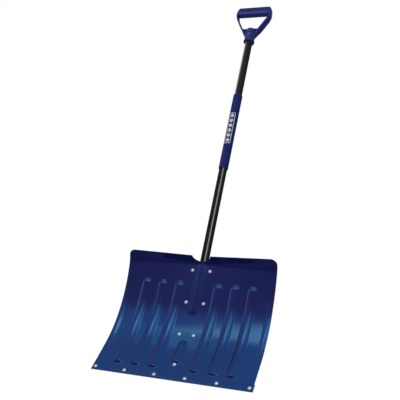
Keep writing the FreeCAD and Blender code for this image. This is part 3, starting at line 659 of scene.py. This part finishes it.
def grip_screw():
    """The screw through the socket's wall into the tube."""
    low = (-5.2, -SCREW_RISE - 0.8, -5.2)
    high = (5.2, SCREW_REACH + 0.8, 5.2)
    points, faces = surface_net(screw_field, low, high, 0.18)
    points = points + np.array([0.0, TUBE_Y + SCREW_FLOOR_Y, SCREW_Z])
    return new_piece("grip_screw_head", points, faces, ["grip_screw"])


# ---- tube and sleeve ----

TUBE_BOTTOM = 211.0
SLEEVE_RADIUS = 15.0
SLEEVE_BORE_RADIUS = 12.75
SLEEVE_BOTTOM = 677.0
SLEEVE_TOP = 954.0
SLEEVE_ROUND = 1.1
END_ROUND = 0.35


def hollow(outer, inner, bottom, top, rounding, segments=96):
    """Points and faces of a tube on the handle's axis, with its four rims rounded."""
    profile = corner((outer - rounding, bottom + rounding), rounding, -90, 0)
    profile += [(outer, height) for height in np.linspace(bottom + 2 * rounding, top - 2 * rounding, 24)]
    profile += corner((outer - rounding, top - rounding), rounding, 0, 90)
    profile += corner((inner + rounding, top - rounding), rounding, 90, 180)
    profile += corner((inner + rounding, bottom + rounding), rounding, 180, 270)
    points, faces = lathe(profile + profile[:1], segments)
    return points + np.array([0.0, TUBE_Y, 0.0]), faces


def handle_tube():
    points, faces = hollow(TUBE_RADIUS, TUBE_RADIUS - TUBE_WALL, TUBE_BOTTOM, TUBE_TOP, END_ROUND)
    return new_piece("shaft_tube", points, faces, ["handle_tube"])


def foam_sleeve():
    """The foam hand sleeve, a snug tube of closed-cell foam with soft rims."""
    radii = (SLEEVE_RADIUS, SLEEVE_BORE_RADIUS)
    points, faces = hollow(*radii, SLEEVE_BOTTOM, SLEEVE_TOP, SLEEVE_ROUND, segments=128)
    piece = new_piece("hand_sleeve", points, faces, ["foam_sleeve"])
    return piece


# ---- print on the sleeve ----
# A plain panel with snowflakes. It is drawn flat, across and up, then wrapped round the sleeve.

PANEL_HALF_WIDTH = 10.4
PANEL_BOTTOM = 763.5
PANEL_TOP = 878.7
PANEL_CORNER = 2.5
OUTLINE_INSET = 0.5
OUTLINE_WIDTH = 1.4
STROKE = 1.2
FLAKE_COUNT = 6
FLAKE_REACH = 6.2
FLAKE_BRANCH = 2.6
FLAKE_KNEE = 0.6        # where the branches leave an arm, as a share of its length
FLAKE_FORK = 55
PANEL_LAYER = 0.06
INK_LAYER = 0.12


def wrapped(points, layer):
    """Points drawn flat, wrapped round the front of the sleeve at a small height above it."""
    points = np.asarray(points, dtype=float)
    turn = points[:, 0] / SLEEVE_RADIUS
    radius = SLEEVE_RADIUS + layer
    return np.stack([radius * np.sin(turn), TUBE_Y - radius * np.cos(turn), points[:, 1]], axis=1)


def panel_ring(inset):
    """Points round the panel's edge, moved inwards."""
    half = PANEL_HALF_WIDTH - inset
    round_off = max(PANEL_CORNER - inset, 0.4)
    low = PANEL_BOTTOM + inset
    high = PANEL_TOP - inset
    ring = []
    corners = [(half, high, 0), (-half, high, 90), (-half, low, 180), (half, low, 270)]
    for x, z, start in corners:
        centre = (x - math.copysign(round_off, x), z - math.copysign(round_off, z - (low + high) / 2))
        ring += corner(centre, round_off, start, start + 90, 5)
    spaced = []
    for first, last in zip(ring, ring[1:] + ring[:1]):
        steps = max(1, int(math.dist(first, last)))
        for step in range(steps):
            share = step / steps
            spaced.append([a + (b - a) * share for a, b in zip(first, last)])
    return spaced


def stroke_grid(start, end, width):
    """A straight stroke as a grid two points wide, fine enough to bend round the sleeve."""
    steps = max(2, int(math.dist(start, end)) + 1)
    run = (end - start) / math.dist(start, end)
    side = np.array([-run[1], run[0]]) * width / 2
    points = []
    for share in np.linspace(0, 1, steps):
        middle = start + (end - start) * share
        points += [middle - side, middle + side]
    return points, grid_faces(steps, 2)


def snowflake(centre):
    """The strokes of one six-armed snowflake: each arm has two short branches."""
    strokes = []
    for number in range(6):
        degrees = 30 + 60 * number
        turn = math.radians(degrees)
        arm = np.array([math.cos(turn), math.sin(turn)])
        strokes.append((centre + arm * STROKE / 2, centre + arm * FLAKE_REACH))
        knee = centre + arm * FLAKE_REACH * FLAKE_KNEE
        for side in (-1, 1):
            branch = math.radians(degrees + side * FLAKE_FORK)
            tip = knee + np.array([math.cos(branch), math.sin(branch)]) * FLAKE_BRANCH
            strokes.append((knee, tip))
    return strokes


def sleeve_panel():
    """The dark field of the print."""
    across = np.linspace(-PANEL_HALF_WIDTH, PANEL_HALF_WIDTH, 29)
    points = []
    for end, sign in ((PANEL_BOTTOM, 1), (PANEL_TOP, -1)):
        for x in across:
            over = max(0.0, abs(x) - (PANEL_HALF_WIDTH - PANEL_CORNER))
            points.append((x, end + sign * (PANEL_CORNER - math.sqrt(PANEL_CORNER ** 2 - over ** 2))))
    faces = grid_faces(2, len(across))
    return new_piece("sleeve_panel", wrapped(points, PANEL_LAYER), faces, [])


def sleeve_marks():
    """The white outline and snowflakes of the print."""
    ring = panel_ring(OUTLINE_INSET)
    inner = panel_ring(OUTLINE_INSET + OUTLINE_WIDTH)
    count = min(len(ring), len(inner))
    points = []
    faces = grid_faces(2, count, closed=True)
    for loop in (ring, inner):
        loop = np.array(loop)
        places = np.linspace(0, len(loop), count, endpoint=False)
        closed = np.vstack([loop, loop[:1]])
        points += zip(*[np.interp(places, range(len(closed)), closed[:, axis]) for axis in (0, 1)])
    pitch = (PANEL_TOP - PANEL_BOTTOM) / (FLAKE_COUNT + 0.3)
    middle = (PANEL_TOP + PANEL_BOTTOM) / 2
    for number in range(FLAKE_COUNT):
        centre = np.array([0.0, middle + (number - (FLAKE_COUNT - 1) / 2) * pitch])
        for start, end in snowflake(centre):
            grid, quads = stroke_grid(start, end, STROKE)
            shift = len(points)
            points += [tuple(point) for point in grid]
            faces += [tuple(index + shift for index in quad) for quad in quads]
    return new_piece("sleeve_marks", wrapped(points, INK_LAYER), faces, [])


# ---- rivets ----

HEAD_RADIUS = 5.2
HEAD_RISE = 2.8
HEAD_RIM = 0.5
SHANK_RADIUS = 2.4
TAIL_RADIUS = 3.8
TAIL_HEIGHT = 1.6
TAIL_ROUND_ABOVE = 0.4
TAIL_ROUND_BELOW = 0.5
BRACKET_THICKNESS = 1.6
STACK_GAP = 0.05
STRIP_RIVET_Z = 9.7
STRIP_RIVET_PITCH = 87.8
STRIP_RIVET_COUNT = 6
TIP_RIVET_Z = 45.9
SHAFT_RIVET_Z = 284.0
RIVET_PAIRS = [
    # name, x to each side, height
    ("socket_rivet_upper", 27.0, 332.6),
    ("socket_rivet_lower", 26.7, 234.9),
    ("brace_rivet", 21.2, 137.9),
]
CURVE_ROOM = 0.8


def rivet_profile(stack):
    """A domed head, a shank through a stack of plates, and a flattened tail."""
    crown = HEAD_RISE - HEAD_RIM
    radius = (HEAD_RADIUS ** 2 + crown ** 2) / (2 * crown)
    widest = math.degrees(math.asin(HEAD_RADIUS / radius))
    profile = []
    for angle in np.radians(np.linspace(0, widest, 12)):
        profile.append((radius * math.sin(angle), HEAD_RISE - radius * (1 - math.cos(angle))))
    profile += [(HEAD_RADIUS, HEAD_RIM * 0.4), (HEAD_RADIUS - 0.2, 0.0)]
    profile += [(SHANK_RADIUS, 0.0), (SHANK_RADIUS, -stack), (TAIL_RADIUS - 0.3, -stack)]
    above = (TAIL_RADIUS - TAIL_ROUND_ABOVE, -stack - TAIL_ROUND_ABOVE)
    below = (TAIL_RADIUS - TAIL_ROUND_BELOW, -stack - TAIL_HEIGHT + TAIL_ROUND_BELOW)
    profile += corner(above, TAIL_ROUND_ABOVE, 60, 0, 3) + corner(below, TAIL_ROUND_BELOW, 0, -90, 4)
    flat = -stack - TAIL_HEIGHT * 0.9
    return profile + [(TAIL_RADIUS * 0.4, flat), (0.0, flat)]


def rivet(node, seat, outward, stack):
    """One rivet whose head faces outwards, seated at a point in millimetres."""
    points, faces = lathe(rivet_profile(stack), segments=40)
    turn = Vector((0, 0, 1)).rotation_difference(Vector(outward))
    placed = Matrix.Translation(Vector(seat)) @ turn.to_matrix().to_4x4()
    moved = [tuple(placed @ Vector(point)) for point in points]
    return new_piece(node + "_dome", moved, [face[::-1] for face in faces], [node])


def face_rivet(node, x, z, plate):
    """A rivet through the sheet and the plate behind it."""
    y, lean = face_point(z)
    outward = (0.0, -math.cos(lean), math.sin(lean))
    seat = (x, y + outward[1] * STACK_GAP, z + outward[2] * STACK_GAP)
    return rivet(node, seat, outward, SHEET + plate + 2 * STACK_GAP)


def rivets():
    made = []
    for number in range(STRIP_RIVET_COUNT):
        node = "wear_strip_rivet_%d" % (number + 1)
        x = (number - (STRIP_RIVET_COUNT - 1) / 2) * STRIP_RIVET_PITCH
        made.append(face_rivet(node, x, STRIP_RIVET_Z, STRIP_THICKNESS))
    for prefix, x, z in RIVET_PAIRS:
        made.append(face_rivet(prefix + "_left", -x, z, BRACKET_THICKNESS))
        made.append(face_rivet(prefix + "_right", x, z, BRACKET_THICKNESS))
    made.append(face_rivet("brace_rivet_tip", 0.0, TIP_RIVET_Z, BRACKET_THICKNESS))
    outside = TUBE_RADIUS + TUBE_SEAT_GAP + BRACKET_THICKNESS
    stack = BRACKET_THICKNESS + TUBE_SEAT_GAP + TUBE_WALL + CURVE_ROOM
    made.append(rivet("shaft_rivet", (0.0, TUBE_Y + outside, SHAFT_RIVET_Z), (0.0, 1.0, 0.0), stack))
    return made


# ---- wear strip ----

STRIP_WIDTH = 25.0
STRIP_HALF = BLADE_HALF + 1.5
WEAR = 0.25


def wear_strip():
    """The steel strip behind the blade's foot, its ground edge a little worn along its length."""
    lean = math.radians(FOOT_LEAN)
    along = np.array([math.sin(lean), math.cos(lean)])
    behind = np.array([math.cos(lean), -math.sin(lean)])
    face_y = face_point(0.0)[0]
    front = np.array([face_y, 0.0]) + behind * SHEET
    back = front + behind * STRIP_THICKNESS
    section = [
        (face_y + SHEET / math.cos(lean), 0.0),
        front + along * STRIP_WIDTH,
        back + along * STRIP_WIDTH,
        (face_y + (SHEET + STRIP_THICKNESS) / math.cos(lean), 0.0),
    ]
    stations = np.linspace(-STRIP_HALF, STRIP_HALF, 161)
    points = []
    for x in stations:
        worn = WEAR * (0.5 + 0.3 * math.sin(x / 31.0) + 0.2 * math.sin(x / 9.3 + 1.0))
        for index, (y, z) in enumerate(section):
            points.append((x, y, z + (worn if index == 3 else 0.0)))
    faces = [face[::-1] for face in grid_faces(len(stations), 4, closed=True)]
    last = (len(stations) - 1) * 4
    faces += [(0, 1, 2, 3), (last + 3, last + 2, last + 1, last)]
    piece = new_piece("ground_strip", points, faces, ["wear_strip"], smooth=False)
    bevel(piece, width=0.35, angle=40)
    return piece


# ---- materials ----

# Each material is a function of its surface shader and the place of a shaded point in metres.

def dress(pieces, name, paint, *colours):
    """Give pieces one new material, painted by a function."""
    made = bpy.data.materials.new(name)
    made.use_nodes = True
    tree = made.node_tree
    place = add_node(tree, "TexCoord").outputs["Object"]
    paint(tree.nodes["Principled BSDF"], place, *colours)
    for piece in pieces:
        piece.data.materials.clear()
        piece.data.materials.append(made)


def add_node(tree, kind, inputs=None, **settings):
    """A node with its settings, and its inputs given by name as a value or as another node's output."""
    node = tree.nodes.new("ShaderNode" + kind)
    for name, value in settings.items():
        setattr(node, name, value)
    for name, value in (inputs or {}).items():
        connect(value, node.inputs[name])
    return node


def connect(value, socket):
    if isinstance(value, bpy.types.NodeSocket):
        socket.id_data.links.new(value, socket)
    elif socket.type == "RGBA":
        socket.default_value = value + (1.0,)
    else:
        socket.default_value = value


# Each of these puts its node in the tree of the output that it is given first.

def axes_of(vector):
    return add_node(vector.id_data, "SeparateXYZ", {"Vector": vector}).outputs


def noise(vector, scale, detail=4.0, roughness=0.55):
    inputs = {"Vector": vector, "Scale": scale, "Detail": detail, "Roughness": roughness}
    return add_node(vector.id_data, "TexNoise", inputs).outputs["Fac"]


def stretched(vector, scales):
    """A place with its axes scaled, for grain that runs one way."""
    return add_node(vector.id_data, "Mapping", {"Vector": vector, "Scale": scales}).outputs["Vector"]


def levels(value, low, high, out_low=0.0, out_high=1.0, **settings):
    """A value stretched from one range to another, and held inside it."""
    inputs = {"Value": value, "From Min": low, "From Max": high, "To Min": out_low, "To Max": out_high}
    return add_node(value.id_data, "MapRange", inputs, **settings).outputs["Result"]


def calculate(operation, first, second=0.0, kind="Math"):
    """The result of an operation on numbers, or on vectors with the VectorMath kind."""
    node = add_node(first.id_data, kind, operation=operation)
    connect(first, node.inputs[0])
    connect(second, node.inputs[1])
    return node.outputs[0]


def mixed(share, first, second):
    """A colour between two colours."""
    node = add_node(share.id_data, "Mix", data_type="RGBA")
    for index, value in ((0, share), (6, first), (7, second)):
        connect(value, node.inputs[index])
    return node.outputs[2]


def either(share, first, second, output):
    """Show one shader or another at a material's or a world's output."""
    mix = add_node(share.id_data, "MixShader", {"Fac": share})
    connect(first, mix.inputs[1])
    connect(second, mix.inputs[2])
    connect(mix.outputs["Shader"], share.id_data.nodes[output].inputs["Surface"])


def bumped(shader, height, strength, distance):
    """Give a shader a relief too fine for the mesh."""
    inputs = {"Height": height, "Strength": strength, "Distance": distance}
    connect(add_node(shader.id_data, "Bump", inputs).outputs["Normal"], shader.inputs["Normal"])


def finish_shader(shader, **inputs):
    """Set a surface shader's inputs, with their names written in lower case."""
    for name, value in inputs.items():
        connect(value, shader.inputs[name.replace("_", " ").title().replace("Ior", "IOR")])


def blade_paint(shader, place):
    """Glossy metallic blue paint, slightly uneven, with a faint orange peel and a scuffed ground edge."""
    height = axes_of(place)["Z"]
    blotches = noise(place, 9.0, 5.0)
    colour = mixed(levels(blotches, 0.3, 0.7), (0.05, 0.092, 0.37), (0.058, 0.104, 0.41))
    scratches = noise(stretched(place, (60.0, 60.0, 6.0)), 9.0, 6.0, 0.7)
    near_edge = levels(height, 0.0, 0.012, 1.0, 0.0)
    scuffed = calculate("MULTIPLY", near_edge, levels(scratches, 0.5, 0.62))
    colour = mixed(scuffed, colour, (0.16, 0.165, 0.18))
    grain = noise(place, 320.0, 3.0)
    roughness = levels(noise(place, 40.0, 6.0), 0.3, 0.75, 0.10, 0.14)
    finish_shader(shader, base_color=colour, metallic=0.85, roughness=roughness)
    finish_shader(shader, coat_weight=0.25, coat_roughness=0.06)
    bumped(shader, grain, 0.02, 0.0002)


def wear_steel(shader, place):
    """Bare mild steel with grinding marks along its length and a few rust freckles."""
    marks = noise(stretched(place, (4.0, 160.0, 160.0)), 10.0, 6.0, 0.7)
    freckles = levels(noise(place, 130.0, 5.0, 0.7), 0.62, 0.72)
    steel = mixed(marks, (0.30, 0.30, 0.31), (0.52, 0.52, 0.53))
    colour = mixed(calculate("MULTIPLY", freckles, 0.45), steel, (0.22, 0.11, 0.06))
    finish_shader(shader, base_color=colour, metallic=0.85, roughness=levels(marks, 0.3, 0.7, 0.32, 0.5))
    bumped(shader, marks, 0.25, 0.0003)


def bracket_paint(shader, place):
    """Satin black powder coat with its fine grain."""
    grain = noise(place, 900.0, 2.0)
    patches = noise(place, 14.0, 4.0)
    colour = mixed(patches, (0.016, 0.016, 0.018), (0.028, 0.028, 0.03))
    finish_shader(shader, base_color=colour, roughness=levels(patches, 0.3, 0.7, 0.38, 0.5))
    bumped(shader, grain, 0.3, 0.0002)


def rivet_steel(shader, place):
    """Bright zinc plate, lightly dulled in patches."""
    patches = noise(place, 420.0, 4.0)
    colour = mixed(patches, (0.80, 0.80, 0.80), (0.92, 0.92, 0.91))
    finish_shader(shader, base_color=colour, metallic=0.35, roughness=levels(patches, 0.3, 0.7, 0.35, 0.5))
    bumped(shader, noise(place, 1500.0, 2.0), 0.12, 0.0001)


def tube_paint(shader, place):
    """Satin black paint on drawn tube, with faint marks along its length."""
    drawn = noise(stretched(place, (420.0, 420.0, 3.0)), 3.0, 5.0, 0.6)
    patches = noise(place, 11.0, 4.0)
    colour = mixed(drawn, (0.0014, 0.0012, 0.0013), (0.0026, 0.0022, 0.0024))
    finish_shader(shader, base_color=colour, specular_ior_level=0.04)
    finish_shader(shader, roughness=levels(patches, 0.3, 0.7, 0.22, 0.28))
    bumped(shader, drawn, 0.02, 0.0002)


def foam(shader, place, colour, deeper):
    """Closed-cell foam: matt, with fine pores and slight waves from extrusion."""
    pores = add_node(place.id_data, "TexVoronoi", {"Vector": place, "Scale": 1300.0}).outputs["Distance"]
    waves = noise(stretched(place, (1.0, 1.0, 0.25)), 60.0, 3.0)
    patches = noise(place, 35.0, 4.0)
    finish_shader(shader, base_color=mixed(patches, deeper, colour), roughness=0.72)
    finish_shader(shader, sheen_weight=0.08, sheen_roughness=0.4, specular_ior_level=0.2)
    height = calculate("ADD", calculate("MULTIPLY", pores, 0.35), waves)
    bumped(shader, height, 0.3, 0.0004)


def ink(shader, place, colour, worn_colour):
    """Screen-printed ink that lets a little foam through where it has cracked."""
    cracks = levels(noise(place, 700.0, 4.0, 0.7), 0.6, 0.7)
    finish_shader(shader, base_color=mixed(cracks, colour, worn_colour), roughness=0.5)
    bumped(shader, noise(place, 1300.0, 2.0), 0.2, 0.0002)


def grip_plastic(shader, place):
    """Moulded polypropylene: fine spark-eroded grain, slight flow marks and a faint parting line."""
    flow = noise(stretched(place, (1.0, 1.0, 2.5)), 16.0, 4.0)
    grain = noise(place, 1500.0, 3.0, 0.6)
    colour = mixed(levels(flow, 0.3, 0.7), (0.019, 0.022, 0.170), (0.025, 0.029, 0.200))
    beside = calculate("SUBTRACT", axes_of(place)["Y"], TUBE_Y * MM)
    off_line = calculate("ABSOLUTE", beside)
    seam = levels(off_line, 0.0, 0.0003, 0.6, 0.0)
    finish_shader(shader, base_color=colour, roughness=levels(grain, 0.3, 0.7, 0.36, 0.46))
    finish_shader(shader, specular_ior_level=0.3)
    bumped(shader, calculate("ADD", grain, seam), 0.2, 0.0002)


def screw_steel(shader, place):
    """Painted steel, rubbed bright in small patches."""
    rubbed = levels(noise(place, 800.0, 4.0, 0.7), 0.52, 0.6)
    colour = mixed(rubbed, (0.045, 0.05, 0.2), (0.4, 0.4, 0.42))
    finish_shader(shader, base_color=colour, metallic=0.5, roughness=0.35)
    bumped(shader, rubbed, 0.1, 0.0001)


# ---- stage, camera and light ----

FLOOR_IN_MIRROR = [
    # share of the mirrored reach, colour in whatever mirrors the floor
    (0.10, (0.54, 0.20, 0.42)),
    (0.22, (0.36, 0.10, 0.29)),
    (0.45, (0.40, 0.11, 0.32)),
    (0.80, (0.46, 0.22, 0.40)),
]
FLOOR_GLOW = (0.38, 0.28, 0.29)     # makes up for the tint of the room's light, where the floor is seen
FLOOR_COLOUR = (0.8, 0.8, 0.82)
FLOOR_REACH = 3.0       # metres, as are the next two; the drop keeps the floor off the ground edge
FLOOR_MIRRORED_REACH = 2.0
FLOOR_DROP = 0.0005


def floor_paint(shader, place):
    """A pale matt floor, clear from below, with its own colours in what mirrors it."""
    tree = shader.id_data
    path = add_node(tree, "LightPath").outputs
    axes = axes_of(place)
    squares = [calculate("MULTIPLY", axes[name], axes[name]) for name in ("X", "Y")]
    away = calculate("SQRT", calculate("ADD", *squares))
    mirrored = ramp(levels(away, 0.0, FLOOR_MIRRORED_REACH), FLOOR_IN_MIRROR)
    colour = mixed(path["Is Glossy Ray"], FLOOR_COLOUR, mirrored)
    finish_shader(shader, base_color=colour, roughness=0.9)
    finish_shader(shader, emission_color=FLOOR_GLOW, emission_strength=path["Is Camera Ray"])
    clear = add_node(tree, "BsdfTransparent").outputs["BSDF"]
    below = add_node(tree, "NewGeometry").outputs["Backfacing"]
    either(below, shader.outputs["BSDF"], clear, "Material Output")


def floor():
    """The floor only shows from above, because the camera looks up from below it."""
    corners = [(x * FLOOR_REACH, y * FLOOR_REACH, 0) for x, y in ((-1, -1), (1, -1), (1, 1), (-1, 1))]
    mesh = bpy.data.meshes.new("floor")
    mesh.from_pydata(corners, [], [(0, 1, 2, 3)])
    sheet = stand("floor", mesh)
    sheet.location.z = -FLOOR_DROP
    dress([sheet], "floor", floor_paint)


ROOM = [
    # elevation, colour in front
    (-90, (0.16, 0.07, 0.16)),
    (-30, (0.11, 0.05, 0.11)),
    (-12, (0.17, 0.10, 0.18)),
    (8, (0.17, 0.11, 0.18)),
    (16, (0.20, 0.12, 0.20)),
    (21, (0.22, 0.17, 0.25)),
    (27, (0.22, 0.35, 0.38)),
    (32, (0.21, 0.41, 0.43)),
    (46, (0.20, 0.42, 0.44)),
    (60, (0.19, 0.38, 0.41)),
    (90, (0.22, 0.38, 0.40)),
]
LEFT_RISE = (-30, -38, 0.12)        # between these azimuths the room's colours come lower
WALLS = [
    # azimuth, colour at the sides and behind
    (-180, (0.16, 0.15, 0.18)),
    (-150, (0.42, 0.58, 0.62)),
    (-120, (0.46, 0.70, 0.74)),
    (-78, (0.40, 0.58, 0.60)),
    (-69, (0.20, 0.12, 0.20)),
    (-58, (0.20, 0.12, 0.20)),
    (70, (0.22, 0.20, 0.24)),
    (120, (0.13, 0.11, 0.14)),
]
HIGH_WALL = (0.22, 0.28, 0.32)
HIGH_WALL_FADE = (0.30, 0.52)       # sines of the elevations between which a wall turns to this colour
OVERHEAD = (0.8, 0.95)              # and between which the front's colours close over the walls
OPEN_SIDE = (-62, -54, 60, 80)      # the azimuths between which the front is seen instead of the walls
WINDOWS = [
    # azimuth, elevation, half width, half height, edge, roll, colour
    (-13, 40, 10, 8, 2.5, 38, (0.60, 0.98, 0.40)),
    (-33, 46, 9, 2.5, 2.5, -62, (0.16, 0.42, 0.20)),
    (8, 42, 22, 7, 3, 0, (0.12, 0.20, 0.12)),
    (14, 30, 13, 8, 7, 0, (0.22, 0.72, 0.38)),
]


def heading(azimuth, elevation):
    """The direction at an azimuth and an elevation: azimuth 0 is in front, -90 on the left."""
    azimuth = math.radians(azimuth)
    elevation = math.radians(elevation)
    return Vector((
        math.sin(azimuth) * math.cos(elevation),
        -math.cos(azimuth) * math.cos(elevation),
        math.sin(elevation),
    ))


def offset(direction, axis):
    """How far a direction lies along an axis, without its sign."""
    dot = add_node(direction.id_data, "VectorMath", operation="DOT_PRODUCT")
    connect(direction, dot.inputs[0])
    connect(tuple(axis), dot.inputs[1])
    return calculate("ABSOLUTE", dot.outputs["Value"])


def window(direction, azimuth, elevation, half_width, half_height, edge, roll):
    """A soft-edged window, and its twin in the opposite direction, with its sizes and roll in degrees."""
    centre = heading(azimuth, elevation)
    turn = Matrix.Rotation(math.radians(roll), 3, centre)
    across = turn @ heading(azimuth + 90, 0)
    upward = across.cross(centre)
    mask = levels(offset(direction, centre), 0.5, 0.6)
    for axis, half in ((across, half_width), (upward, half_height)):
        far = math.sin(math.radians(half + edge))
        near = math.sin(math.radians(half - edge))
        away = offset(direction, axis)
        side = levels(away, near, far, 1.0, 0.0, interpolation_type="SMOOTHSTEP")
        mask = calculate("MULTIPLY", mask, side)
    return mask


def ramp(value, stops):
    """A colour ramp over a value from 0 to 1."""
    made = add_node(value.id_data, "ValToRGB", {"Fac": value})
    elements = made.color_ramp.elements
    while len(elements) < len(stops):
        elements.new(0.5)
    for element, (position, colour) in zip(elements, stops):
        element.position = position
        element.color = colour + (1.0,)
    return made.outputs["Color"]


def room_colour(direction):
    """The room's colour in a direction: by height in front, by turn on the walls, and in the windows."""
    axes = axes_of(direction)
    azimuth = calculate("ARCTAN2", axes["X"], calculate("MULTIPLY", axes["Y"], -1.0))
    first, last, lift = LEFT_RISE
    rise = levels(azimuth, math.radians(first), math.radians(last), 0.0, lift)
    by_height = [((math.sin(math.radians(elevation)) + 1) / 2, colour) for elevation, colour in ROOM]
    front = ramp(levels(calculate("ADD", axes["Z"], rise), -1.0, 1.0), by_height)
    by_turn = [((turn + 180) / 360, colour) for turn, colour in WALLS]
    walls = ramp(levels(azimuth, -math.pi, math.pi), by_turn)
    walls = mixed(levels(axes["Z"], *HIGH_WALL_FADE), walls, HIGH_WALL)
    left_end, left_start, right_start, right_end = [math.radians(turn) for turn in OPEN_SIDE]
    left = levels(azimuth, left_end, left_start)
    right = levels(azimuth, right_end, right_start)
    open_side = calculate("MAXIMUM", calculate("MULTIPLY", left, right), levels(axes["Z"], *OVERHEAD))
    total = mixed(open_side, walls, front)
    for *shape, colour in WINDOWS:
        inputs = {"Vector": colour, "Scale": window(direction, *shape)}
        more = add_node(direction.id_data, "VectorMath", inputs, operation="SCALE").outputs["Vector"]
        total = calculate("ADD", total, more, kind="VectorMath")
    return total


def world():
    """White where the camera sees it, and the room for all the light that the object gets from it."""
    made = bpy.data.worlds.new("studio")
    made.use_nodes = True
    tree = made.node_tree
    seen = tree.nodes["Background"]
    seen.inputs["Color"].default_value = (1.0, 1.0, 1.0, 1.0)
    colour = room_colour(add_node(tree, "TexCoord").outputs["Generated"])
    lit = add_node(tree, "Background", {"Color": colour})
    is_seen = add_node(tree, "LightPath").outputs["Is Camera Ray"]
    either(is_seen, lit.outputs["Background"], seen.outputs["Background"], "World Output")
    bpy.context.scene.world = made


def softbox(name, azimuth, elevation, distance, size, power, aim, receivers):
    """An area light for some pieces, in a direction from the point it is aimed at."""
    light = bpy.data.lights.new(name, "AREA")
    light.shape = "RECTANGLE"
    light.size, light.size_y = size
    light.energy = power
    lamp = stand(name, light)
    outward = heading(azimuth, elevation)
    lamp.location = Vector(aim) + outward * distance
    lamp.rotation_mode = "QUATERNION"
    lamp.rotation_quaternion = (-outward).to_track_quat("-Z", "Y")
    lamp.visible_camera = False
    lit = bpy.data.collections.new(name + "_receivers")
    for piece in receivers:
        lit.objects.link(piece)
    lamp.light_linking.receiver_collection = lit


def lights(tube, rivet_heads, handle):
    """Softboxes for the grip and sleeve, the tube, and the rivets. The room alone lights the blade."""
    softbox("handle_side", -72, 42, 2.2, (0.6, 0.9), 1.5, (0.0, 0.08, 1.1), handle)
    softbox("handle_front", -25, 2, 2.2, (1.0, 1.0), 26.0, (0.0, 0.08, 0.95), handle)
    softbox("handle_right", 62, -25, 1.5, (0.8, 0.8), 5.0, (0.0, 0.08, 1.28), handle)
    softbox("tube_side", -85, 42, 1.5, (2.4, 1.0), 60.0, (0.0, 0.08, 1.15), [tube])
    softbox("tube_front", 24, 22, 2.2, (1.1, 1.0), 300.0, (0.0, 0.08, 0.45), [tube])
    softbox("rivet_front", 10, 25, 2.2, (0.8, 0.8), 16.0, (0.0, 0.0, 0.2), rivet_heads)


CAMERA_AZIMUTH = 23.18
CAMERA_ELEVATION = -23.96
CAMERA_ROLL = 12.10
CAMERA_DISTANCE = 1.9865
CAMERA_LENS = 58.95
AIM_FROM_CENTRE = (-0.0396, -0.0012, -0.1137)


def camera():
    """A view from below and to the right, looking up the shovel, with a slight roll."""
    low, high = start_bounds
    aim = (low + high) / 2 + Vector(AIM_FROM_CENTRE)
    outward = heading(CAMERA_AZIMUTH, CAMERA_ELEVATION)
    data = bpy.data.cameras.new("camera")
    data.lens = CAMERA_LENS
    data.clip_start = 0.01
    data.dof.use_dof = False
    view = stand("camera", data)
    level = (-outward).to_track_quat("-Z", "Y").to_matrix().to_4x4()
    roll = Matrix.Rotation(math.radians(CAMERA_ROLL), 4, "Z")
    view.matrix_world = Matrix.Translation(aim + outward * CAMERA_DISTANCE) @ level @ roll
    bpy.context.scene.camera = view


# ---- scene ----

def build():
    """Every piece with its material, and then its lights."""
    tube = handle_tube()
    grip = d_grip()
    screw = grip_screw()
    sleeve = foam_sleeve()
    print_field = sleeve_panel()
    print_marks = sleeve_marks()
    dress([blade()], "blade_paint", blade_paint)
    dress([wear_strip()], "wear_steel", wear_steel)
    dress([frame["nodes"]["socket_bracket"]], "bracket_paint", bracket_paint)
    rivet_heads = rivets()
    dress(rivet_heads, "rivet_steel", rivet_steel)
    dress([tube], "tube_paint", tube_paint)
    dress([sleeve], "foam", foam, (0.008, 0.016, 0.130), (0.006, 0.013, 0.112))
    dress([print_field], "panel_ink", ink, (0.012, 0.012, 0.070), (0.016, 0.024, 0.12))
    dress([print_marks], "white_ink", ink, (0.93, 0.93, 0.95), (0.3, 0.33, 0.5))
    dress([grip], "grip_plastic", grip_plastic)
    dress([screw], "screw_steel", screw_steel)
    lights(tube, rivet_heads, [grip, screw, sleeve, print_field, print_marks])


build()
floor()
world()
camera()
bpy.context.scene.view_settings.view_transform = "Standard"
